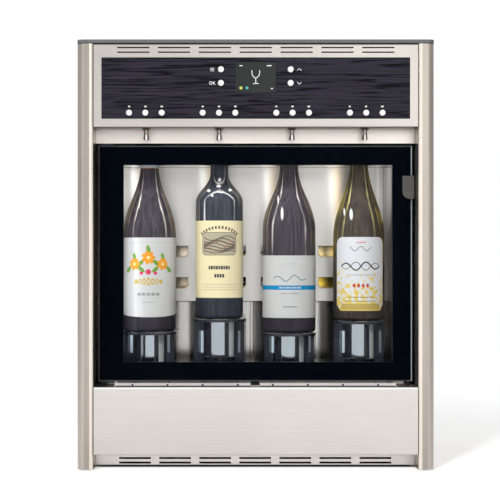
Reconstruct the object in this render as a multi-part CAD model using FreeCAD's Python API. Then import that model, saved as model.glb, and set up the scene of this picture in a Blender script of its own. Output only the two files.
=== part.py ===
import FreeCAD, Part
import math
import os
from FreeCAD import Vector

# Wine preservation dispenser for four bottles: a cooled, glass-fronted tank between two side
# panels, a head with the controls and the taps above it, and a low machine box below it.
# Millimetres. The origin is on the counter, under the middle of the cabinet. +X is right,
# +Y is towards the back and +Z is up.

# ---- Cabinet ----
width = 532.0
depth = 390.0                   # front face to rear cover
height = 641.5
proud = 4.0                     # button caps stand out of the front, and the gas inlet out of the back
sheet = 1.5                     # outer sheet metal
joint_gap = 0.3                 # between neighbouring panels
column_width = 24.5             # rounded front edge of a side panel
column_depth = 45.0
column_outer_radius = 13.0
column_inner_radius = 6.0
return_flange = 14.0            # rear and bottom flanges of a side panel
side_lift = 2.0                 # side panels end this far above the counter
foot_height = 3.5
foot_radius = 15.0
foot_inset = 61.0               # side and rear of the cabinet to the feet's axes
front_foot_setback = 84.0       # hides the front feet behind the toe wall
cover_thickness = 5.0
cover_corner = 10.0
cover_lip = 1.0                 # the cover stands on a lip, which leaves a shadow line
cover_lip_inset = 4.0
recess = 42.0                   # the door, spout panel and toe wall stand this far behind the front
bend_radius = 3.0
over = 1.0                      # cutting tools run past a face by this much
near = 0.01                     # finds the edges that lie in one plane

# ---- Levels ----
toe_height = 19.4
toe_vent_level = 10.0           # pan to the upper row of toe vents
toe_vent_height = 3.0
lower_panel_height = 101.3
sill_gap = 5.5                  # sill to door
door_to_spout_panel = 3.1
spout_panel_height = 20.8
head_height = 124.9             # fascia, from its underside to its top

# ---- Tank ----
tank_side_room = 46.0           # outer bottle axis to tank wall
tank_floor_above_door_bottom = 16.0
ceiling_below_door_top = 24.7
tank_sheet = 1.2
tank_flange = 24.0              # front flange of the liner, where the gasket seats
tank_front = 64.0               # cabinet front to liner flange
tank_back_panel = 200.0         # cabinet front to louvred panel
tank_rear = 257.0               # cabinet front to the liner's rear wall
insulation = 22.0
insulation_to_side = 8.3
neck_hole_radius = 24.0
louvre_width = 62.0
louvre_height = 17.5
louvre_gap = 31.0
louvre_centre_gap = 24.0
louvre_corner = 9.0
louvre_lip = 3.0
louvre_upper_top = 126.0        # below the tank ceiling
louvre_row_pitch = 50.5
upper_back_panel_drop = 215.0   # tank ceiling to the upper back panel's lower edge
back_panel_step = 3.0
back_panel_seam = 2.4

# ---- Bottles: base radius, height, shoulder level, level where the neck starts ----
bottle_shapes = [
    (41.5, 310.0, 150.0, 262.0),
    (37.25, 290.0, 181.0, 226.0),
    (41.5, 312.0, 160.0, 262.0),
    (40.25, 293.0, 128.0, 250.0),
]
bottle_setback = 128.0          # cabinet front to bottle axes
bottle_wall = 3.5
bottle_neck_radius = 14.2
bottle_bore_radius = 9.3
bottle_ring = 1.0
bottle_ring_height = 14.0
bottle_punt = 22.0
bottle_heel = 7.0
bottle_foot = 5.0               # width of the ring that the bottle stands on
bottle_foot_glass = 4.5
bottle_easing = 0.4             # how long the shoulder stays upright at each end
mouth_above_ceiling = 50.0

# ---- Lifts ----
lift_radius = 42.0
lift_wall = 2.5
lift_plate = 5.0
lift_tail = 38.7                # tube of the highest lift below the tank floor
lift_sleeve_radius = 24.5
lift_sleeve_wall = 3.0
lift_sleeve_edge = 9.0          # round of the sleeve's lower end
lift_sleeve_length = 61.0
well_clearance = 1.0
well_wall = 1.6
well_rim = 2.7                  # collar on the tank floor, wider than the well's bore
well_base = 3.0
ram_radius = 14.0
ram_bore = 9.0
ram_side_gap = 1.0              # between the ram and the sleeve's lower end
ram_base = 5.0
ram_gland = 6.0
ram_bottom_gap = 1.0            # below the piston of a lift at its lowest
ram_top_below_plate = 5.0       # below the plate of a lowered lift
rod_radius = 6.0
piston_height = 8.0
spigot_height = 6.0             # the platform's ring inside its tube
spigot_wall = 2.0
running_fit = 0.05

# ---- Door ----
door_edge_gap = 3.8             # glass edge to side column
outer_glass = 5.0
door_spacer = 12.0
inner_glass = 4.0
inner_glass_lap = 4.5           # over the frame
glass_corner = 2.0
door_border_left = 37.7         # glass edge to the clear window
door_border_right = 29.2
door_border_top = 28.8
door_border_bottom = 28.5
door_frame_inset = 8.7
gasket_width = 14.0
gasket_lap = 15.0               # tank opening to the gasket's outer edge, above and below
gasket_gap = 0.3
hinge_inset = 5.7               # glass edge to hinge axis
hinge_behind_front = 5.5
hinge_pin_radius = 2.5
hinge_lug = 2.5
hinge_lug_half = 4.8            # around the pin
hinge_lug_reach = 18.0          # along the frame
hinge_lug_corner = 4.0
bracket_reach = 6.0             # bracket past the pin, inwards
bracket_behind = 9.0            # bracket past the pin, backwards
upper_bracket = 4.5
handle_width = 17.5
handle_height = 34.6
handle_level = 276.3            # door bottom to handle's lower edge
handle_out = 2.4                # past the glass edge
handle_plate = 5.0
handle_back = 2.0               # behind the pane
handle_corner = 10.5
handle_edge = 1.5

# ---- Drip tray and sill ----
ledge_rim = 7.0
trough_depth = 10.2
sill_width = 25.0
tray_sheet = 1.0
tray_end_room = 29.0            # side column to tray: an open door stands over this end
tray_clearance = 0.5
tray_seat_gap = 0.3             # tray to the trough's floor
tray_front_rise = 0.4           # above the ledge
tray_rear_rise = 3.0
tray_hole_radius = 1.5
tray_hole_drop = 2.4            # below the rear wall's top
tray_hole_pitch = 53.0
tray_hole_count = 8
tray_notch_level = 4.0          # tray floor to the notch for the door catch
catch_width = 12.0
catch_front = 1.0               # ahead of the pane
catch_depth = 9.0
catch_gap = 0.5                 # below the pane
catch_room = 1.5                # tray notch to the catch
stop_radius = 3.0

# ---- Head ----
vent_slot_length = 48.0
vent_slot_height = 2.0
vent_slot_pitch = 60.7
vent_slot_count = 7
head_vent_drop = 6.1            # fascia top to first vent row
vent_row_pitch = 6.9
panel_side_margin = 11.7        # fascia end to the control panel
panel_below_head_top = 20.7
panel_above_head_bottom = 12.9
panel_sink = 1.0                # control panel's face behind the fascia's face
panel_thickness = 3.0
panel_seat = 5.0
panel_clearance = 0.25
display_width = 59.5
display_height = 45.0
display_below_panel_top = 6.8
display_proud = 0.4
display_clearance = 0.2
module_margin = 3.5             # display module wider than its screen
module_depth = 3.0
button_radius = 4.5
button_clearance = 0.3
button_edge = 0.9
button_flange = 1.5
button_flange_depth = 1.0
button_back_gap = 0.1           # panel to button flange
button_travel = 1.2
button_stem_radius = 2.0
button_stem_length = 1.0
button_spacing = 24.25
dispense_row = 8.8              # above the control panel's lower edge
menu_column = 51.8
menu_upper_row = 18.0           # below the control panel's upper edge
menu_row_pitch = 20.3
board_thickness = 1.6
board_margin = 2.0
board_post_radius = 3.0
board_post_inset = 8.0
switch_half = 3.0
switch_height = 3.5
switch_gap = 0.2                # switch to the stem of a pressed button

# ---- Taps, heads and gas ----
spout_setback = 22.0
spout_radius = 3.5
spout_bore = 2.5
spout_tip_below_head = 17.0
ferrule_radius = 6.5
ferrule_height = 4.0
valve_above_head_bottom = 19.4
valve_size = (26.0, 28.0, 30.0)
valve_ahead = 5.0               # valve block ahead of the tap's axis
valve_leg = 3.0
valve_leg_depth = 12.0
coil_radius = 11.0
coil_height = 30.0
socket_radius = 17.5
socket_body_radius = 22.0
socket_flange_radius = 34.0
socket_flange = 3.0
socket_height = 66.8
seal_thickness = 5.0
seal_gap = 0.3
seal_clearance = 0.2
tube_radius = 3.0
tube_bore = 2.0
port_radius = 4.5
port_length = 6.0
port_level = 54.8               # above the tank's top insulation
dip_tube_radius = 2.5
dip_tube_wall = 0.8
dip_tube_clear = 26.0           # tube end above the bottle's base
dip_bore_below_port = 6.0
dip_tube_end_gap = 0.5
manifold_size = 20.0
manifold_behind_heads = 57.0
manifold_end = 26.0             # outermost head to the end of the rail
regulator_radius = 18.0
regulator_height = 28.0
regulator_knob_radius = 9.0
regulator_knob_height = 12.0
gas_inlet_bore = 3.05
gas_inlet_bore_depth = 16.0
gas_inlet_radius = 6.0
gas_inlet_nut_radius = 9.0
gas_inlet_nut = 5.0
gas_inlet_collar = 3.0

# ---- Cooling, power and fasteners ----
cold_sink_size = (120.0, 26.0, 100.0)
sink_base = 8.0
fin_thickness = 2.0
fin_pitch = 6.0
cold_sink_gap = 4.0             # sink base to the liner's rear wall
cold_block = 44.0
cold_block_proud = 1.0          # behind the insulation
peltier_size = 40.0
peltier_thickness = 4.0
hot_sink_size = (140.0, 45.0, 160.0)
cooling_level = 310.0
fan_frame_depth = 20.0
fan_frame_wall = 3.0
fan_frame_corner = 5.0
fan_plate = 3.0
fan_strut = 4.0
fan_shaft_radius = 2.0
fan_shaft_set = 4.0             # shaft tip behind the housing's front
fan_shaft_end_gap = 0.5
fan_hub_radius = 14.0
fan_hub_set = 1.5
fan_hub_gap = 1.0               # hub to the motor plate
fan_blades = 7
fan_blade_chord = 11.0
fan_blade_thickness = 2.0
fan_blade_angle = 42.0
fan_blade_root = 2.0            # inside the hub
fan_blade_tip_set = 1.0
fan_tip_gap = 1.5
tank_fan_radius = 36.0
rear_fan_radius = 54.0
supply_size = (150.0, 85.0, 45.0)
supply_left = 55.0
supply_to_cover = 5.0
power_inlet_x = -190.0
power_inlet_z = 92.0
power_inlet_size = (32.0, 22.0, 52.0)
inlet_flange = 3.0
inlet_flange_depth = 1.5
inlet_flange_corner = 2.0
socket_opening = (24.4, 16.5)
socket_margin = 3.0             # module's lower edge to the socket
socket_recess = 18.0
pin_section = (4.0, 2.0)
pin_length = 13.0
pin_places = ((-7.0, -3.0), (0.0, 3.0), (7.0, -3.0))
rocker_size = (18.0, 13.0)
rocker_tilt = 10.0
rocker_room = 1.2
rocker_side_room = 0.5
rocker_margin = 5.0             # module's upper edge to the rocker
rocker_bay_depth = 9.0
rocker_waist = 4.0              # rocker face's middle above the axis
rocker_tip = 4.9
rocker_bottom = 3.2
rocker_bottom_half = 3.5
pivot_lap = 1.5
rocker_axis_depth = 4.0
rocker_pivot_radius = 2.5
screw_radius = 1.75
screw_head_radius = 3.5
screw_head_height = 2.0
screw_length = 8.0
screw_hole_clearance = 0.25
rear_screw_rows = 5
rear_vent_width = 54.0
rear_vent_bar = 10.0            # between the two columns of rear vents
rear_vent_height = 4.0
rear_vent_pitch = 10.0
rear_vent_count = 11

# ---- Worked out from the values above ----
front = -depth / 2
rear = depth / 2
side = width / 2
inner_side = side - column_width
opening_half = inner_side - joint_gap
recess_face = front + recess
toe_top = foot_height + toe_height
ledge_top = toe_top + lower_panel_height
door_bottom = ledge_top + sill_gap
head_top = height - cover_thickness - cover_lip
head_bottom = head_top - head_height
spout_panel_bottom = head_bottom - spout_panel_height
door_top = spout_panel_bottom - door_to_spout_panel
tank_half = inner_side - insulation_to_side - insulation - tank_sheet
tank_floor = door_bottom + tank_floor_above_door_bottom
ceiling = door_top - ceiling_below_door_top
flange_face = front + tank_front
liner_rear = front + tank_rear
insulation_top = ceiling + tank_sheet + insulation
insulation_rear = liner_rear + tank_sheet + insulation
bottle_y = front + bottle_setback
bottle_pitch = 2 * (tank_half - tank_side_room) / (len(bottle_shapes) - 1)
bottle_x = [(i - (len(bottle_shapes) - 1) / 2) * bottle_pitch for i in range(len(bottle_shapes))]
mouth = ceiling + mouth_above_ceiling
lift_tops = [mouth - shape[1] for shape in bottle_shapes]
lift_lowest_top = ceiling - max(shape[1] for shape in bottle_shapes)
lift_length = max(lift_tops) - tank_floor + lift_tail
well_radius = lift_radius + well_clearance
glass_half = inner_side - door_edge_gap
hinge_x = -glass_half + hinge_inset
hinge_y = recess_face + hinge_behind_front
frame_front = recess_face + outer_glass
frame_back = frame_front + door_spacer
panel_width = 2 * (opening_half - panel_side_margin)
panel_bottom = head_bottom + panel_above_head_bottom
panel_top = head_top - panel_below_head_top
panel_face = front + panel_sink
panel_back = panel_face + panel_thickness
button_end = panel_back + button_back_gap + button_flange_depth + button_stem_length
board_front = button_end + button_travel + switch_gap + switch_height
spout_y = front + spout_setback
valve_bottom = head_bottom + valve_above_head_bottom
port_z = insulation_top + port_level
manifold_y = bottle_y + manifold_behind_heads
manifold_half_length = bottle_x[-1] + manifold_end
inlet_x = manifold_half_length - manifold_size / 2
inlet_end = rear + proud - gas_inlet_bore_depth - gas_inlet_nut
cooling_x = 0.0
cold_sink_front = liner_rear - cold_sink_gap - cold_sink_size[1]
hot_sink_front = insulation_rear + cold_block_proud + peltier_thickness
tank_fan_y = cold_sink_front - fan_frame_depth
rear_fan_y = hot_sink_front + hot_sink_size[1]
rocker_z = power_inlet_z + power_inlet_size[2] / 2 - rocker_size[1] / 2 - rocker_margin


def box(x, y, z):
    """A block between two values on each axis."""
    return Part.makeBox(x[1] - x[0], y[1] - y[0], z[1] - z[0], Vector(x[0], y[0], z[0]))


def post(radius, x, y, z):
    """An upright cylinder."""
    return Part.makeCylinder(radius, z[1] - z[0], Vector(x, y, z[0]))


def bar_y(radius, x, y, z):
    """A cylinder along Y."""
    return Part.makeCylinder(radius, y[1] - y[0], Vector(x, y[0], z), Vector(0, 1, 0))


def turned(points, x, y):
    """A solid of revolution about a vertical axis, from (radius, level) corners."""
    outline = Part.makePolygon([Vector(r, 0, z) for r, z in points + points[:1]])
    solid = Part.Face(outline).revolve(Vector(0, 0, 0), Vector(0, 0, 1), 360)
    solid.translate(Vector(x, y, 0))
    return solid


def bent_sheet(points, thickness, x):
    """A sheet folded along (y, z) points, with round bends outside, and as long as x says."""
    path = Part.makePolygon([Vector(x[0], y, z) for y, z in points])
    section = path.makeOffset2D(thickness, join=0, fill=True, openResult=True)
    return section.extrude(Vector(x[1] - x[0], 0, 0))


def round_edges(solid, axis, radius, chosen=lambda centre: True):
    """Fillets the straight edges along one axis that the test picks by their middle point."""
    picked = []
    for edge in solid.Edges:
        if len(edge.Vertexes) != 2:
            continue
        run = edge.Vertexes[1].Point - edge.Vertexes[0].Point
        if abs(abs(run.dot(axis)) - run.Length) < 1e-6 and chosen(edge.CenterOfMass):
            picked.append(edge)
    return solid.makeFillet(radius, picked)


def cut_all(solid, tools):
    """Takes each tool out of the solid."""
    return solid.cut(Part.makeCompound(list(tools)))


def save(node, *solids):
    """Writes one node: a single solid, or a group of separate ones."""
    shape = solids[0] if len(solids) == 1 else Part.makeCompound(list(solids))
    shape.exportStep("parts/" + node + ".step")


X = Vector(1, 0, 0)
Y = Vector(0, 1, 0)
Z = Vector(0, 0, 1)


def vent_slots(y, level, slot_height):
    """Two rows of slots across a front sheet, the upper row at the given level."""
    slots = []
    for row in range(2):
        z = level - row * vent_row_pitch
        for i in range(vent_slot_count):
            x = (i - (vent_slot_count - 1) / 2) * vent_slot_pitch
            slots.append(box((x - vent_slot_length / 2, x + vent_slot_length / 2), y,
                             (z - slot_height / 2, z + slot_height / 2)))
    return slots


def rear_screw_places():
    """Screws down each side of the rear cover."""
    step = (head_top - foot_height - 2 * return_flange) / (rear_screw_rows - 1)
    return [(sx * (side - sheet - return_flange / 2), foot_height + return_flange + i * step)
            for sx in (-1, 1) for i in range(rear_screw_rows)]


# ---- Cabinet shell ----

def side_panel(sign):
    """Folded side: a closed round-edged column in front, a skin, and a rear and a bottom flange."""
    z = (side_lift, head_top)
    column = box((inner_side, side), (front, front + column_depth), z)
    middle = (inner_side + side) / 2
    column = round_edges(column, Z, column_outer_radius, lambda c: c.x > middle and c.y < front + sheet)
    column = round_edges(column, Z, column_inner_radius, lambda c: c.x < middle and c.y < front + sheet)
    inside = box((inner_side + sheet, side - sheet), (front + sheet, front + column_depth - sheet),
                 (z[0] + sheet, z[1] - sheet))
    inside = round_edges(inside, Z, column_outer_radius - sheet,
                         lambda c: c.x > middle and c.y < front + 2 * sheet)
    inside = round_edges(inside, Z, column_inner_radius - sheet,
                         lambda c: c.x < middle and c.y < front + 2 * sheet)
    skin = box((side - sheet, side), (front + column_depth - sheet, rear), z)
    rear_flange = box((side - sheet - return_flange, side - sheet), (rear - 2 * sheet, rear - sheet), z)
    foot_flange = box((inner_side - return_flange / 2, side - sheet),
                      (front + column_depth - sheet, rear - sheet), (side_lift, foot_height))
    panel = column.cut(inside).fuse([skin, rear_flange, foot_flange]).removeSplitter()
    holes = [bar_y(screw_radius + screw_hole_clearance, x, (rear - 3 * sheet, rear), z_screw)
             for x, z_screw in rear_screw_places() if x > 0]
    panel = cut_all(panel, holes)
    return panel if sign > 0 else panel.mirror(Vector(0, 0, 0), X)


def top_cover():
    """Plate with round corners, on a lip that holds it just clear of the panels."""
    plate = box((-side, side), (front, rear), (head_top + cover_lip, height))
    plate = round_edges(plate, Z, cover_corner)
    lip = box((-side + cover_lip_inset, side - cover_lip_inset),
              (front + cover_lip_inset, rear - cover_lip_inset), (head_top, head_top + cover_lip))
    lip = round_edges(lip, Z, cover_corner)
    return plate.fuse(lip).removeSplitter()


def base_pan():
    """Bottom tray: its front edge is the vented toe wall, and the rear cover stands behind it."""
    x = (-opening_half, opening_half)
    y = (recess_face + sheet, rear - 2 * sheet)
    floor = box(x, y, (foot_height, foot_height + sheet))
    toe = box(x, (y[0], y[0] + sheet), (foot_height, toe_top))
    sides = [box((x_side, x_side + sheet), y, (foot_height, toe_top)) for x_side in (x[0], x[1] - sheet)]
    pan = floor.fuse([toe] + sides).removeSplitter()
    through = (recess_face, recess_face + 3 * sheet)
    return cut_all(pan, vent_slots(through, foot_height + toe_vent_level, toe_vent_height))


def feet():
    """Four rubber feet under the pan."""
    places = [(sx * (side - foot_inset), y) for sx in (-1, 1)
              for y in (front + front_foot_setback, rear - foot_inset)]
    return [post(foot_radius, x, y, (0, foot_height)) for x, y in places]


def rear_cover():
    """Flat rear panel with vents behind the fan, and openings for the gas and power inlets."""
    x = side - sheet - joint_gap
    cover = box((-x, x), (rear - sheet, rear), (foot_height, head_top - joint_gap))
    tools = []
    for i in range(rear_vent_count):
        z = cooling_level + (i - (rear_vent_count - 1) / 2) * rear_vent_pitch
        for x_vent in (cooling_x - rear_vent_bar / 2 - rear_vent_width, cooling_x + rear_vent_bar / 2):
            tools.append(box((x_vent, x_vent + rear_vent_width), (rear - 2 * sheet, rear + sheet),
                             (z - rear_vent_height / 2, z + rear_vent_height / 2)))
    for x_screw, z_screw in rear_screw_places():
        tools.append(bar_y(screw_radius + screw_hole_clearance, x_screw,
                           (rear - 2 * sheet, rear + sheet), z_screw))
    tools.append(bar_y(gas_inlet_radius + joint_gap, inlet_x, (rear - 2 * sheet, rear + sheet), port_z))
    half_x = power_inlet_size[0] / 2 + joint_gap
    half_z = power_inlet_size[2] / 2 + joint_gap
    tools.append(box((power_inlet_x - half_x, power_inlet_x + half_x), (rear - 2 * sheet, rear + sheet),
                     (power_inlet_z - half_z, power_inlet_z + half_z)))
    return cut_all(cover, tools)


def housing_screws():
    """Pan-head screws that hold the rear cover to the side panels."""
    return [bar_y(screw_head_radius, x, (rear, rear + screw_head_height), z).fuse(
            bar_y(screw_radius, x, (rear - screw_length, rear), z)) for x, z in rear_screw_places()]


def lower_front_panel():
    """Folded front of the machine box: underside, front, ledge rim, drip trough and sill."""
    trough = ledge_top - trough_depth
    tray_rear = flange_face - sill_width
    points = [(recess_face + sheet, toe_top), (front, toe_top), (front, ledge_top),
              (front + ledge_rim, ledge_top), (front + ledge_rim, trough),
              (tray_rear, trough), (tray_rear, ledge_top), (flange_face - joint_gap, ledge_top)]
    panel = bent_sheet(points, sheet, (-opening_half, opening_half))
    panel = round_edges(panel, X, bend_radius, lambda c: c.y < front + sheet / 2)
    tray_half = opening_half - tray_end_room + tray_clearance
    ends = [box(x, (front + ledge_rim - sheet, tray_rear), (trough - sheet, ledge_top))
            for x in ((-opening_half, -tray_half), (tray_half, opening_half))]
    return panel.fuse(ends).removeSplitter()


def drip_tray():
    """Lift-out tray in the trough. Its rear wall stands higher and has a row of small holes."""
    half = opening_half - tray_end_room
    y0 = front + ledge_rim + tray_clearance
    y1 = flange_face - sill_width - tray_clearance
    z0 = ledge_top - trough_depth + tray_seat_gap
    front_top = ledge_top + tray_front_rise
    rear_top = ledge_top + tray_rear_rise
    outer = box((-half, half), (y0, y1), (z0, rear_top))
    inner = box((-half + tray_sheet, half - tray_sheet), (y0 + tray_sheet, y1 - tray_sheet),
                (z0 + tray_sheet, rear_top + over))
    lower_front = box((-half - over, half + over), (y0 - over, y1 - tray_sheet), (front_top, rear_top + over))
    tray = cut_all(outer, [inner, lower_front])
    rear_wall = (y1 - tray_sheet - over, y1 + over)
    hole_z = rear_top - tray_hole_drop
    holes = [bar_y(tray_hole_radius, (i - (tray_hole_count - 1) / 2) * tray_hole_pitch, rear_wall, hole_z)
             for i in range(tray_hole_count)]
    notch_half = catch_width / 2 + catch_room
    notch = box((-notch_half, notch_half), rear_wall, (z0 + tray_notch_level, rear_top + over))
    return cut_all(tray, holes + [notch])


def fascia_frame():
    """Folded front of the head: top flange, vented face with the panel's opening, and underside."""
    points = [(recess_face - joint_gap, head_bottom), (front, head_bottom), (front, head_top),
              (front + 3 * bend_radius, head_top)]
    fascia = bent_sheet(points, sheet, (-opening_half, opening_half))
    fascia = round_edges(fascia, X, bend_radius, lambda c: c.y < front + sheet / 2)
    through = (front - over, front + sheet + over)
    tools = vent_slots(through, head_top - head_vent_drop, vent_slot_height)
    tools.append(box((-panel_width / 2, panel_width / 2), through, (panel_bottom, panel_top)))
    tools += [post(spout_radius + joint_gap, x, spout_y, (head_bottom - over, head_bottom + sheet + over))
              for x in bottle_x]
    return cut_all(fascia, tools)


def spout_panel():
    """Strip behind the spouts, folded back over the door, with a hole for the upper hinge pin."""
    points = [(flange_face - joint_gap, spout_panel_bottom), (recess_face, spout_panel_bottom),
              (recess_face, head_bottom + 2 * spout_panel_height / 3)]
    strip = bent_sheet(points, sheet, (-opening_half, opening_half))
    return strip.cut(post(hinge_pin_radius + joint_gap, hinge_x, hinge_y,
                          (spout_panel_bottom - sheet, spout_panel_bottom + 2 * sheet)))


# ---- Tank ----

def tank_liner():
    """Bright box with a front flange, neck holes in its ceiling and lift holes in its floor."""
    t = tank_sheet
    outer = box((-tank_half - t, tank_half + t), (flange_face, liner_rear + t), (tank_floor - t, ceiling + t))
    flange = box((-tank_half - tank_flange, tank_half + tank_flange), (flange_face, flange_face + t),
                 (tank_floor - tank_flange, ceiling + tank_flange))
    tools = [box((-tank_half, tank_half), (flange_face - over, liner_rear), (tank_floor, ceiling))]
    for x in bottle_x:
        tools.append(post(neck_hole_radius, x, bottle_y, (ceiling - over, ceiling + t + over)))
        tools.append(post(well_radius + well_wall + joint_gap, x, bottle_y,
                          (tank_floor - t - over, tank_floor + over)))
    half = cold_block / 2 + joint_gap
    tools.append(box((cooling_x - half, cooling_x + half), (liner_rear - over, liner_rear + t + over),
                     (cooling_level - half, cooling_level + half)))
    return cut_all(outer.fuse(flange).removeSplitter(), tools)


def tank_insulation():
    """Foam round the liner, open in front, with the same holes."""
    t = tank_sheet
    block = box((-tank_half - t - insulation, tank_half + t + insulation), (flange_face + t, insulation_rear),
                (tank_floor - t - insulation, insulation_top))
    tools = [box((-tank_half - t, tank_half + t), (flange_face, liner_rear + t),
                 (tank_floor - t, ceiling + t))]
    for x in bottle_x:
        tools.append(post(neck_hole_radius, x, bottle_y, (ceiling, insulation_top + over)))
        tools.append(post(well_radius + well_wall + joint_gap, x, bottle_y,
                          (tank_floor - t - insulation - over, tank_floor)))
    half = cold_block / 2 + joint_gap
    tools.append(box((cooling_x - half, cooling_x + half), (liner_rear, insulation_rear + over),
                     (cooling_level - half, cooling_level + half)))
    return cut_all(block, tools)


def louvre_places():
    """Left ends and tops of the louvre openings in the upper back panel."""
    places = []
    for row in range(2):
        z = ceiling - louvre_upper_top - row * louvre_row_pitch
        for start in (louvre_centre_gap / 2, louvre_centre_gap / 2 + louvre_width + louvre_gap):
            places += [(start, z), (-start - louvre_width, z)]
    return places


def louvre_opening(x, z, y):
    """An opening with a straight top and round lower corners."""
    hole = box((x, x + louvre_width), y, (z - louvre_height, z))
    return round_edges(hole, Y, louvre_corner, lambda c: c.z < z - louvre_height / 2)


def louvre_hood(x, z, face):
    """The pressed lip along the lower edge of a louvre, which stands into the tank."""
    middle = z - louvre_height / 2
    rim = tank_sheet
    low = z - louvre_height - rim
    hood = box((x - rim, x + louvre_width + rim), (face - louvre_lip, face), (low, middle))
    hood = round_edges(hood, Y, louvre_corner - rim, lambda c: c.z < (low + middle) / 2)
    return hood.cut(louvre_opening(x, z, (face - louvre_lip - over, face + over)))


def tank_back_panels():
    """Upper louvred panel, and two plain plates set back below it."""
    face = front + tank_back_panel
    t = tank_sheet
    half = tank_half - joint_gap
    split = ceiling - upper_back_panel_drop
    upper = box((-half, half), (face, face + t), (split, ceiling - joint_gap))
    upper = upper.fuse(box((-half, half), (face, face + back_panel_step + t), (split, split + t)))
    upper = upper.fuse([louvre_hood(x, z, face) for x, z in louvre_places()])
    upper = cut_all(upper, [louvre_opening(x, z, (face - over, face + t + over)) for x, z in louvre_places()])
    upper = upper.removeSplitter()
    y = (face + back_panel_step, face + back_panel_step + t)
    plates = [box((x, x + half - back_panel_seam / 2), y, (tank_floor + joint_gap, split - joint_gap))
              for x in (-half, back_panel_seam / 2)]
    return [upper] + plates


# ---- Lifts and bottles ----

def lift_guides():
    """For each bottle, a well from the tank floor to the base pan, and a ram standing in it."""
    bottom = foot_height + sheet
    solids = []
    for x in bottle_x:
        well = post(well_radius + well_wall, x, bottle_y, (bottom, tank_floor))
        rim = post(well_radius + well_rim, x, bottle_y, (tank_floor, tank_floor + tank_sheet))
        well = well.fuse(rim).removeSplitter()
        well = well.cut(post(well_radius, x, bottle_y, (bottom + well_base, tank_floor + tank_sheet + over)))
        foot = bottom + well_base
        top = lift_lowest_top - lift_plate - ram_top_below_plate
        ram = post(ram_radius, x, bottle_y, (foot, top))
        ram = ram.cut(post(ram_bore, x, bottle_y, (foot + ram_base, top - ram_gland)))
        ram = ram.cut(post(rod_radius + running_fit, x, bottle_y, (top - ram_gland - over, top + over)))
        solids += [well, ram]
    return solids


def round_ended(radius, x, y, levels, size):
    """An upright cylinder whose lower edge is rounded."""
    shape = post(radius, x, y, levels)
    return shape.makeFillet(size, [edge for edge in shape.Edges if edge.BoundBox.ZMax < levels[0] + near])


def lift_plunger(x, top):
    """The platform with its spigot, the tube below it, the sleeve over the ram, and the rod."""
    plate_bottom = top - lift_plate
    inner = lift_radius - lift_wall
    spigot = inner - joint_gap
    spigot_end = plate_bottom - spigot_height
    platform = turned([(0, top), (lift_radius - 1, top), (lift_radius, top - 1), (lift_radius, plate_bottom),
                       (spigot, plate_bottom), (spigot, spigot_end), (spigot - spigot_wall, spigot_end),
                       (spigot - spigot_wall, plate_bottom), (0, plate_bottom)], x, bottle_y)
    tube = post(lift_radius, x, bottle_y, (top - lift_length, plate_bottom))
    tube = tube.cut(post(inner, x, bottle_y, (top - lift_length - over, plate_bottom + over)))
    sleeve_bottom = top - lift_sleeve_length
    sleeve_floor = sleeve_bottom + lift_sleeve_wall
    sleeve = round_ended(lift_sleeve_radius, x, bottle_y, (sleeve_bottom, plate_bottom), lift_sleeve_edge)
    sleeve = sleeve.cut(round_ended(lift_sleeve_radius - lift_sleeve_wall, x, bottle_y,
                                    (sleeve_floor, plate_bottom + over), lift_sleeve_edge - lift_sleeve_wall))
    through = (sleeve_bottom - over, sleeve_floor + over)
    sleeve = sleeve.cut(post(ram_radius + ram_side_gap, x, bottle_y, through))
    lowest_plate = lift_lowest_top - lift_plate
    ram_top = lowest_plate - ram_top_below_plate
    ram_floor = foot_height + sheet + well_base + ram_base
    rod_end = plate_bottom - (lowest_plate - ram_floor - ram_bottom_gap)
    piston_top = min(rod_end + piston_height, ram_top - ram_gland)
    rod = post(rod_radius, x, bottle_y, (rod_end, plate_bottom))
    rod = rod.fuse(post(ram_bore - running_fit, x, bottle_y, (rod_end, piston_top)))
    return [platform, tube, sleeve, rod]


def shoulder_curve(radius, start, neck_radius, end):
    """The run of a bottle's wall from the body to the neck, upright at both ends."""
    ease = bottle_easing * (end - start)
    curve = Part.BezierCurve()
    curve.setPoles([Vector(radius, 0, start), Vector(radius, 0, start + ease),
                    Vector(neck_radius, 0, end - ease), Vector(neck_radius, 0, end)])
    return curve.toShape()


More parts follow.
